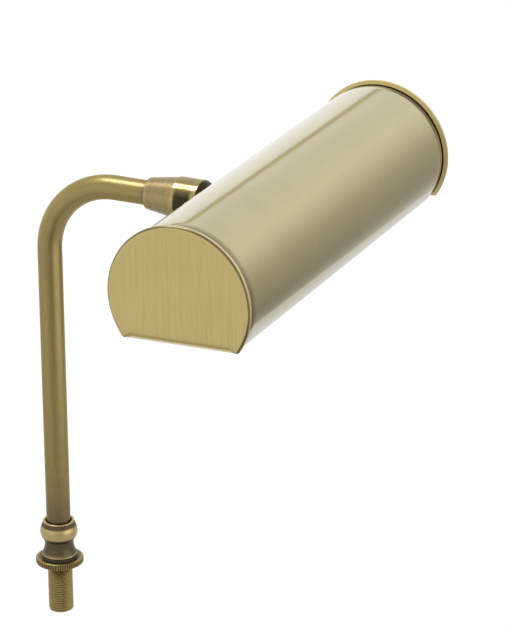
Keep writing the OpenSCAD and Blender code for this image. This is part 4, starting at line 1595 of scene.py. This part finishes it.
@dataclass
class LampUnit:
    """Lampholder, its key and the tubular bulb, on the lampholder's axis along Y."""

    # Axis, and its turn with the shade in degrees
    axis_x: float = 99.997
    axis_z: float = 182.594
    droop: float = 3.73
    # Lampholder
    holder_r: float = 12.0
    holder_mouth: float = 34.0
    holder_back: float = 70.0
    holder_round: float = 1.0
    socket_r: float = 8.9
    socket_floor: float = 60.0
    terminal_flat: float = 10.2
    flat_step: float = 0.1
    least_cosine: float = 0.1
    # Bulb
    bulb_r: float = 12.5
    bulb_neck_r: float = 7.88
    bulb_dome: float = -52.5
    bulb_body: float = 22.0
    bulb_shoulder: float = 30.0
    bulb_top: float = 41.0
    glass: float = 0.8
    # Key, and the powers that square its paddle off
    key_y: float = 65.0
    key_stem_r: float = 1.6
    key_stem_top: float = 5.1
    key_top: float = 16.0
    key_w: float = 13.0
    key_h: float = 8.0
    key_t: float = 2.6
    key_square: float = 0.35
    key_oval: float = 0.8
    # Filament
    coil_r: float = 0.38
    wire_r: float = 0.09
    coil_pitch: float = 0.55
    leg_offset: float = 2.0
    leg_start: float = 13.4
    leg_end: float = -40.6
    # Fineness of the meshes
    corner_rows: int = 10
    socket_rows: int = 30
    flat_rows: int = 16
    dome_rows: int = 40
    shoulder_rows: int = 30
    holder_columns: int = 128
    coil_steps: int = 12
    wire_columns: int = 6
    bow_rows: int = 24
    bow_columns: int = 8
    key_columns: int = 48
    key_rows: int = 41
    holder_sharp: float = 40.0
    key_sharp: float = 45.0

    def spindle(self) -> Spindle:
        """The lampholder's axis along Y, with its side direction up."""
        lean = math.radians(self.droop)
        side = (math.sin(lean), 0.0, math.cos(lean))
        return Spindle((self.axis_x, 0.0, self.axis_z), (0.0, 1.0, 0.0), side)

    def holder(self) -> bpy.types.Object:
        """The lampholder: a turned profile, cut by the terminal flat where r cos a would pass it."""
        round_r = self.holder_round
        corner_r = self.holder_r - round_r
        mouth = arc((self.holder_mouth + round_r, corner_r), round_r, 180.0, 90.0, self.corner_rows)
        back = arc((self.holder_back - round_r, corner_r), round_r, 90.0, 0.0, self.corner_rows)
        by_socket = np.linspace(
            self.holder_mouth + 2.0 * round_r, self.socket_floor - self.flat_step, self.socket_rows
        )
        by_flat = np.linspace(self.socket_floor, self.holder_back - 1.5 * round_r, self.flat_rows)
        side = np.concatenate([by_socket, by_flat])
        outline = np.vstack([
            [
                [self.socket_floor, 0.0],
                [self.socket_floor, self.socket_r],
                [self.holder_mouth, self.socket_r],
            ],
            mouth,
            np.column_stack([side, np.full(len(side), self.holder_r)]),
            back,
            [[self.holder_back, 0.0]],
        ])
        angle = np.linspace(0.0, TURN, self.holder_columns, endpoint=False)[None, :]
        length = outline[:, :1] + 0.0 * angle
        radius = outline[:, 1:] + 0.0 * angle
        limit = self.terminal_flat / np.maximum(np.cos(angle), self.least_cosine)
        cut = (length >= self.socket_floor) & (outline[:, 1:] > self.socket_r)
        radius = np.where(cut, np.minimum(radius, limit), radius)
        relief = np.full(len(outline), LEVEL)
        grid = turned_grid(self.spindle(), length, radius, relief, closed=False)
        return piece("porcelain_lampholder", [grid], self.holder_sharp)

    def bulb(self) -> bpy.types.Object:
        """The bulb's glass: dome, tube, shoulder and neck, then the same again drawn in by the wall."""
        def wall(inset: float) -> np.ndarray:
            """Length and radius from the tip to the neck's end, drawn in by an inset."""
            body = self.bulb_r - inset
            neck = self.bulb_neck_r - inset
            dome = arc((self.bulb_dome, 0.0), body, 180.0, 90.0, self.dome_rows)
            fall = np.linspace(0.0, 1.0, self.shoulder_rows)
            ease = 0.5 - 0.5 * np.cos(math.pi * fall)
            length = self.bulb_body + fall * (self.bulb_shoulder - self.bulb_body)
            shoulder = np.column_stack([length, body + (neck - body) * ease])
            return np.vstack([dome, shoulder, [[self.bulb_top, neck]]])

        outline = np.vstack([wall(0.0), wall(self.glass)[::-1]])
        relief = np.full(len(outline), LEVEL)
        return piece("tubular_bulb_glass", [turned(self.spindle(), outline, relief, closed=False)])

    def filament(self) -> bpy.types.Object:
        """The filament: a fine wire carried along a helix up one leg, across and back down the other."""
        turns = (self.leg_start - self.leg_end) / self.coil_pitch
        share = np.linspace(0.0, 1.0, int(turns * self.coil_steps))[:, None]
        turn = TURN * turns * share
        ring = np.linspace(0.0, TURN, self.wire_columns, endpoint=False)[None, :]
        reach = self.coil_r + self.wire_r * np.cos(ring)
        up = reach * np.sin(turn)
        centre = self.leg_end + (self.leg_start - self.leg_end) * share
        along = centre + self.wire_r * np.sin(ring)
        grids = []
        for side in (-1.0, 1.0):
            across = side * self.leg_offset + reach * np.cos(turn)
            grids.append(self.open_grid(np.stack([up, across, along], axis=-1)))
        ring = np.linspace(0.0, TURN, self.bow_columns, endpoint=False)[None, :]
        swing = np.linspace(0.0, math.pi, self.bow_rows)[:, None]
        bow = self.leg_offset + self.wire_r * np.cos(ring)
        bow_up = self.wire_r * np.sin(ring) + 0.0 * swing
        bow_along = self.leg_end - bow * np.sin(swing)
        grids.append(self.open_grid(np.stack([bow_up, bow * np.cos(swing), bow_along], axis=-1)))
        return piece("coiled_filament", grids)

    def open_grid(self, local: np.ndarray) -> Surface:
        """A plain surface of points on the lampholder's axis, with open rows."""
        relief = np.full(local.shape[:2], LEVEL)
        return Surface(self.spindle().place(local), local, relief, rows_closed=False)

    def key(self) -> bpy.types.Object:
        """The key: a turned stem and a paddle, which is a rounded super-ellipsoid.

        The paddle's half width, height and thickness are signed powers of the cosines and sines of its
        angle and tilt.
        """
        angle = np.linspace(0.0, TURN, self.key_columns, endpoint=False)[None, :]
        stem = np.array([[0.0, 0.0], [0.0, 1.0], [0.0, 1.0], [1.0, 1.0], [1.0, 0.0]])
        stem_len = self.key_top + 0.5 * self.key_h - self.key_stem_top
        depth = self.key_stem_top + stem[:, :1] * stem_len + 0.0 * angle
        reach = self.key_stem_r * stem[:, 1:]
        stem_local = np.stack([-depth, reach * np.sin(angle), self.key_y + reach * np.cos(angle)], axis=-1)
        tilt = np.linspace(-0.5 * math.pi, 0.5 * math.pi, self.key_rows)[:, None]

        def power(value: np.ndarray, exponent: float) -> np.ndarray:
            """A signed power, which squares a circle off."""
            return np.sign(value) * np.abs(value) ** exponent

        wide = power(np.cos(tilt), self.key_square)
        across = 0.5 * self.key_w * wide * power(np.cos(angle), self.key_oval)
        down = self.key_top + 0.5 * self.key_h * (1.0 + wide * power(np.sin(angle), self.key_oval))
        thick = self.key_y + 0.5 * self.key_t * power(np.sin(tilt), self.key_square) + 0.0 * angle
        paddle_local = np.stack([-down, across, thick], axis=-1)
        grids = [self.open_grid(stem_local), self.open_grid(paddle_local)]
        return piece("turn_key", grids, self.key_sharp)

    def build(self, assembly: Assembly, finishes: Finishes) -> None:
        """Builds and dresses the lampholder, key and bulb, and dresses the small parts in them."""
        assembly.add(self.holder(), finishes.porcelain, Body.SHADE, Slot.PORCELAIN, ["holder_body"])
        assembly.add(self.key(), finishes.key, Body.SWITCH, Slot.KEY, ["switch_key"])
        assembly.add(self.bulb(), finishes.glass, Body.SHADE, Slot.GLASS, ["bulb_glass"])
        assembly.add(self.filament(), finishes.tungsten, Body.SHADE, Slot.STEEL, ["bulb_filament"])
        assembly.dress("bulb_stem", finishes.glass)
        for node in ("screw_shell", "centre_contact", "terminal_screws", "bulb_cap"):
            assembly.dress(node, finishes.fitting_brass)
        for node in ("holder_bracket", "holder_screws", "bulb_contact"):
            assembly.dress(node, finishes.steel)


@dataclass
class Studio:
    """Pale floor, soft surround, two soft lights and the camera.

    The surround has three ramps of tones from straight down to straight up: left, right and front.
    """

    # Camera: angles in degrees, focal length in pixels, sensor in millimetres, far limit in metres
    azimuth: float = 25.79
    elevation: float = 22.02
    roll: float = -0.52
    focal_pixels: float = 3572.0
    sensor: float = 36.0
    camera_at: Point = (625.4, -1113.8, 640.2)
    far_limit: float = 20.0
    # Floor, whose right side is slanted
    floor_z: float = -1.0
    floor_left: float = -600.0
    floor_front: float = -140.0
    floor_back: float = 420.0
    floor_right: Pair = (276.0, 118.0)
    floor_tone: Colour = (0.73, 0.73, 0.71)
    # Lights, in watts, and the point that they face
    lamp_centre: Point = (70.0, 0.0, 120.0)
    key_at: Point = (-464.0, -94.0, 1341.0)
    key_size: float = 520.0
    key_power: float = 6.0
    fill_at: Point = (1150.0, -30.0, -80.0)
    fill_size: float = 1300.0
    fill_power: float = 4.8
    # Surround: strength in the brass and to the camera, and where its sides blend
    strength: float = 1.15
    shown_strength: float = 1.1
    side_band: Pair = (-0.30, 0.45)
    ahead_band: Pair = (-0.40, 0.30)
    # Tones of the surround from straight down to straight up
    left_tones: Stops = (
        (0.0, (0.36, 0.34, 0.30)),
        (0.20, (0.62, 0.61, 0.58)),
        (0.27, (0.76, 0.76, 0.74)),
        (0.5, (0.9, 0.9, 0.88)),
        (0.656, (0.98, 0.98, 0.97)),
        (0.664, (0.52, 0.46, 0.30)),
        (0.688, (0.52, 0.46, 0.30)),
        (0.696, (0.92, 0.92, 0.90)),
        (0.75, (0.84, 0.84, 0.82)),
        (1.0, (0.72, 0.72, 0.72)),
    )
    right_tones: Stops = (
        (0.0, (0.16, 0.14, 0.12)),
        (0.20, (0.22, 0.20, 0.17)),
        (0.27, (0.27, 0.25, 0.21)),
        (0.33, (0.37, 0.35, 0.30)),
        (0.42, (0.46, 0.44, 0.38)),
        (0.5, (0.54, 0.52, 0.46)),
        (0.55, (0.64, 0.62, 0.57)),
        (0.63, (0.80, 0.79, 0.76)),
        (0.70, (0.96, 0.96, 0.94)),
        (0.8, (0.92, 0.92, 0.91)),
        (1.0, (0.72, 0.72, 0.72)),
    )
    front_tones: Stops = (
        (0.0, (0.12, 0.11, 0.10)),
        (0.20, (0.14, 0.13, 0.12)),
        (0.30, (0.47, 0.45, 0.41)),
        (0.5, (0.50, 0.49, 0.47)),
        (0.7, (0.80, 0.79, 0.77)),
        (1.0, (0.72, 0.72, 0.72)),
    )

    def floor(self) -> None:
        """A plain floor under the lamp, white to the camera and a little greyer in the brass."""
        corners = [
            (self.floor_left, self.floor_front),
            (self.floor_right[0], self.floor_front),
            (self.floor_right[1], self.floor_back),
            (self.floor_left, self.floor_back),
        ]
        mesh = bpy.data.meshes.new("studio_floor")
        mesh.from_pydata([(x * MM, y * MM, self.floor_z * MM) for x, y in corners], [], [(0, 1, 2, 3)])
        made = bpy.data.objects.new("studio_floor", mesh)
        bpy.context.scene.collection.objects.link(made)
        material = bpy.data.materials.new("floor_white")
        material.use_nodes = True
        sheet = NodeSheet(material.node_tree)
        camera_ray = sheet.add("ShaderNodeLightPath").outputs["Is Camera Ray"]
        glow = sheet.mix(camera_ray, (*self.floor_tone, 1.0), WHITE)
        values = {"Base Color": BLACK, "Roughness": 1.0, "Emission Color": glow, "Emission Strength": 1.0}
        Finish.close(sheet, values)
        mesh.materials.append(material)

    def surround(self) -> None:
        """The world: white to the camera, and to the brass the tones of the direction that it reflects."""
        world = bpy.data.worlds.new("studio_surround")
        bpy.context.scene.world = world
        world.use_nodes = True
        sheet = NodeSheet(world.node_tree)
        direction = sheet.add("ShaderNodeTexCoord").outputs["Generated"]
        way = sheet.add("ShaderNodeSeparateXYZ", {"Vector": direction})
        height = sheet.spread(way.outputs["Z"], -1.0, 1.0, 0.0, 1.0)
        height.node.interpolation_type = "LINEAR"
        left = self.ramp(sheet, height, self.left_tones)
        right = self.ramp(sheet, height, self.right_tones)
        front = self.ramp(sheet, height, self.front_tones)
        side = sheet.spread(way.outputs["X"], *self.side_band, 0.0, 1.0)
        ahead = sheet.spread(way.outputs["Y"], *self.ahead_band, 1.0, 0.0)
        seen = sheet.mix(side, left, sheet.mix(ahead, right, front))
        camera_ray = sheet.add("ShaderNodeLightPath").outputs["Is Camera Ray"]
        shown = sheet.add("ShaderNodeBackground", {"Color": WHITE, "Strength": self.shown_strength})
        lit = sheet.add("ShaderNodeBackground", {"Color": seen, "Strength": self.strength})
        both = sheet.add("ShaderNodeMixShader", {"Fac": camera_ray})
        sheet.feed(both.inputs[1], lit.outputs[0])
        sheet.feed(both.inputs[2], shown.outputs[0])
        sheet.add("ShaderNodeOutputWorld", {"Surface": both.outputs[0]})

    @staticmethod
    def ramp(sheet: NodeSheet, factor: bpy.types.NodeSocket, stops: Stops) -> bpy.types.NodeSocket:
        """A colour ramp.

        Args:
            sheet: The world's nodes.
            factor: Where on the ramp.
            stops: Places and colours.

        Returns:
            The colour's socket.
        """
        made = sheet.add("ShaderNodeValToRGB", {"Fac": factor})
        elements = made.color_ramp.elements
        for place, colour in stops[1:-1]:
            elements.new(place).color = (*colour, 1.0)
        elements[0].color = (*stops[0][1], 1.0)
        elements[len(elements) - 1].color = (*stops[-1][1], 1.0)
        return made.outputs["Color"]

    def light(self, name: str, at: Point, size: float, power: float) -> None:
        """A square soft light that faces the lamp.

        Args:
            name: The light's name.
            at: Its place in millimetres.
            size: Its side in millimetres.
            power: Its power in watts.
        """
        data = bpy.data.lights.new(name, "AREA")
        data.size = size * MM
        data.energy = power
        made = bpy.data.objects.new(name, data)
        place = Vector(at) * MM
        aim = (Vector(self.lamp_centre) * MM - place).to_track_quat("-Z", "Y")
        made.matrix_world = Matrix.Translation(place) @ aim.to_matrix().to_4x4()
        bpy.context.scene.collection.objects.link(made)

    def camera(self) -> None:
        """The camera: its right, up and back directions from azimuth, elevation and roll."""
        turn, rise, roll = (math.radians(value) for value in (self.azimuth, self.elevation, self.roll))
        level = Vector((math.cos(turn), math.sin(turn), 0.0))
        back = Vector((math.sin(turn) * math.cos(rise), -math.cos(turn) * math.cos(rise), math.sin(rise)))
        up = back.cross(level)
        right = level * math.cos(roll) + up * math.sin(roll)
        top = up * math.cos(roll) - level * math.sin(roll)
        data = bpy.data.cameras.new("photo_camera")
        data.sensor_fit = "VERTICAL"
        data.sensor_height = self.sensor
        data.lens = self.sensor * self.focal_pixels / IMAGE_HEIGHT
        data.clip_end = self.far_limit
        made = bpy.data.objects.new("photo_camera", data)
        turned_to = Matrix((right, top, back)).transposed().to_4x4()
        made.matrix_world = Matrix.Translation(Vector(self.camera_at) * MM) @ turned_to
        bpy.context.scene.collection.objects.link(made)
        bpy.context.scene.camera = made

    def build(self) -> None:
        """Sets up the floor, the surround, the lights and the camera."""
        self.floor()
        self.surround()
        self.light("key_light", self.key_at, self.key_size, self.key_power)
        self.light("fill_light", self.fill_at, self.fill_size, self.fill_power)
        self.camera()
        bpy.context.scene.view_settings.view_transform = "Standard"


def main() -> None:
    """Loads the frame and builds each sub-assembly in order."""
    logging.basicConfig(level=logging.INFO, format="%(message)s")
    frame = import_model()
    finishes = Finishes()
    assembly = Assembly(frame)
    for part in (ClampStem(), TurnedNeck(), BentArm(), BallSwivel(), HalfRoundShade(), LampUnit()):
        part.build(assembly, finishes)
    Studio().build()


if __name__ == "__main__":
    main()
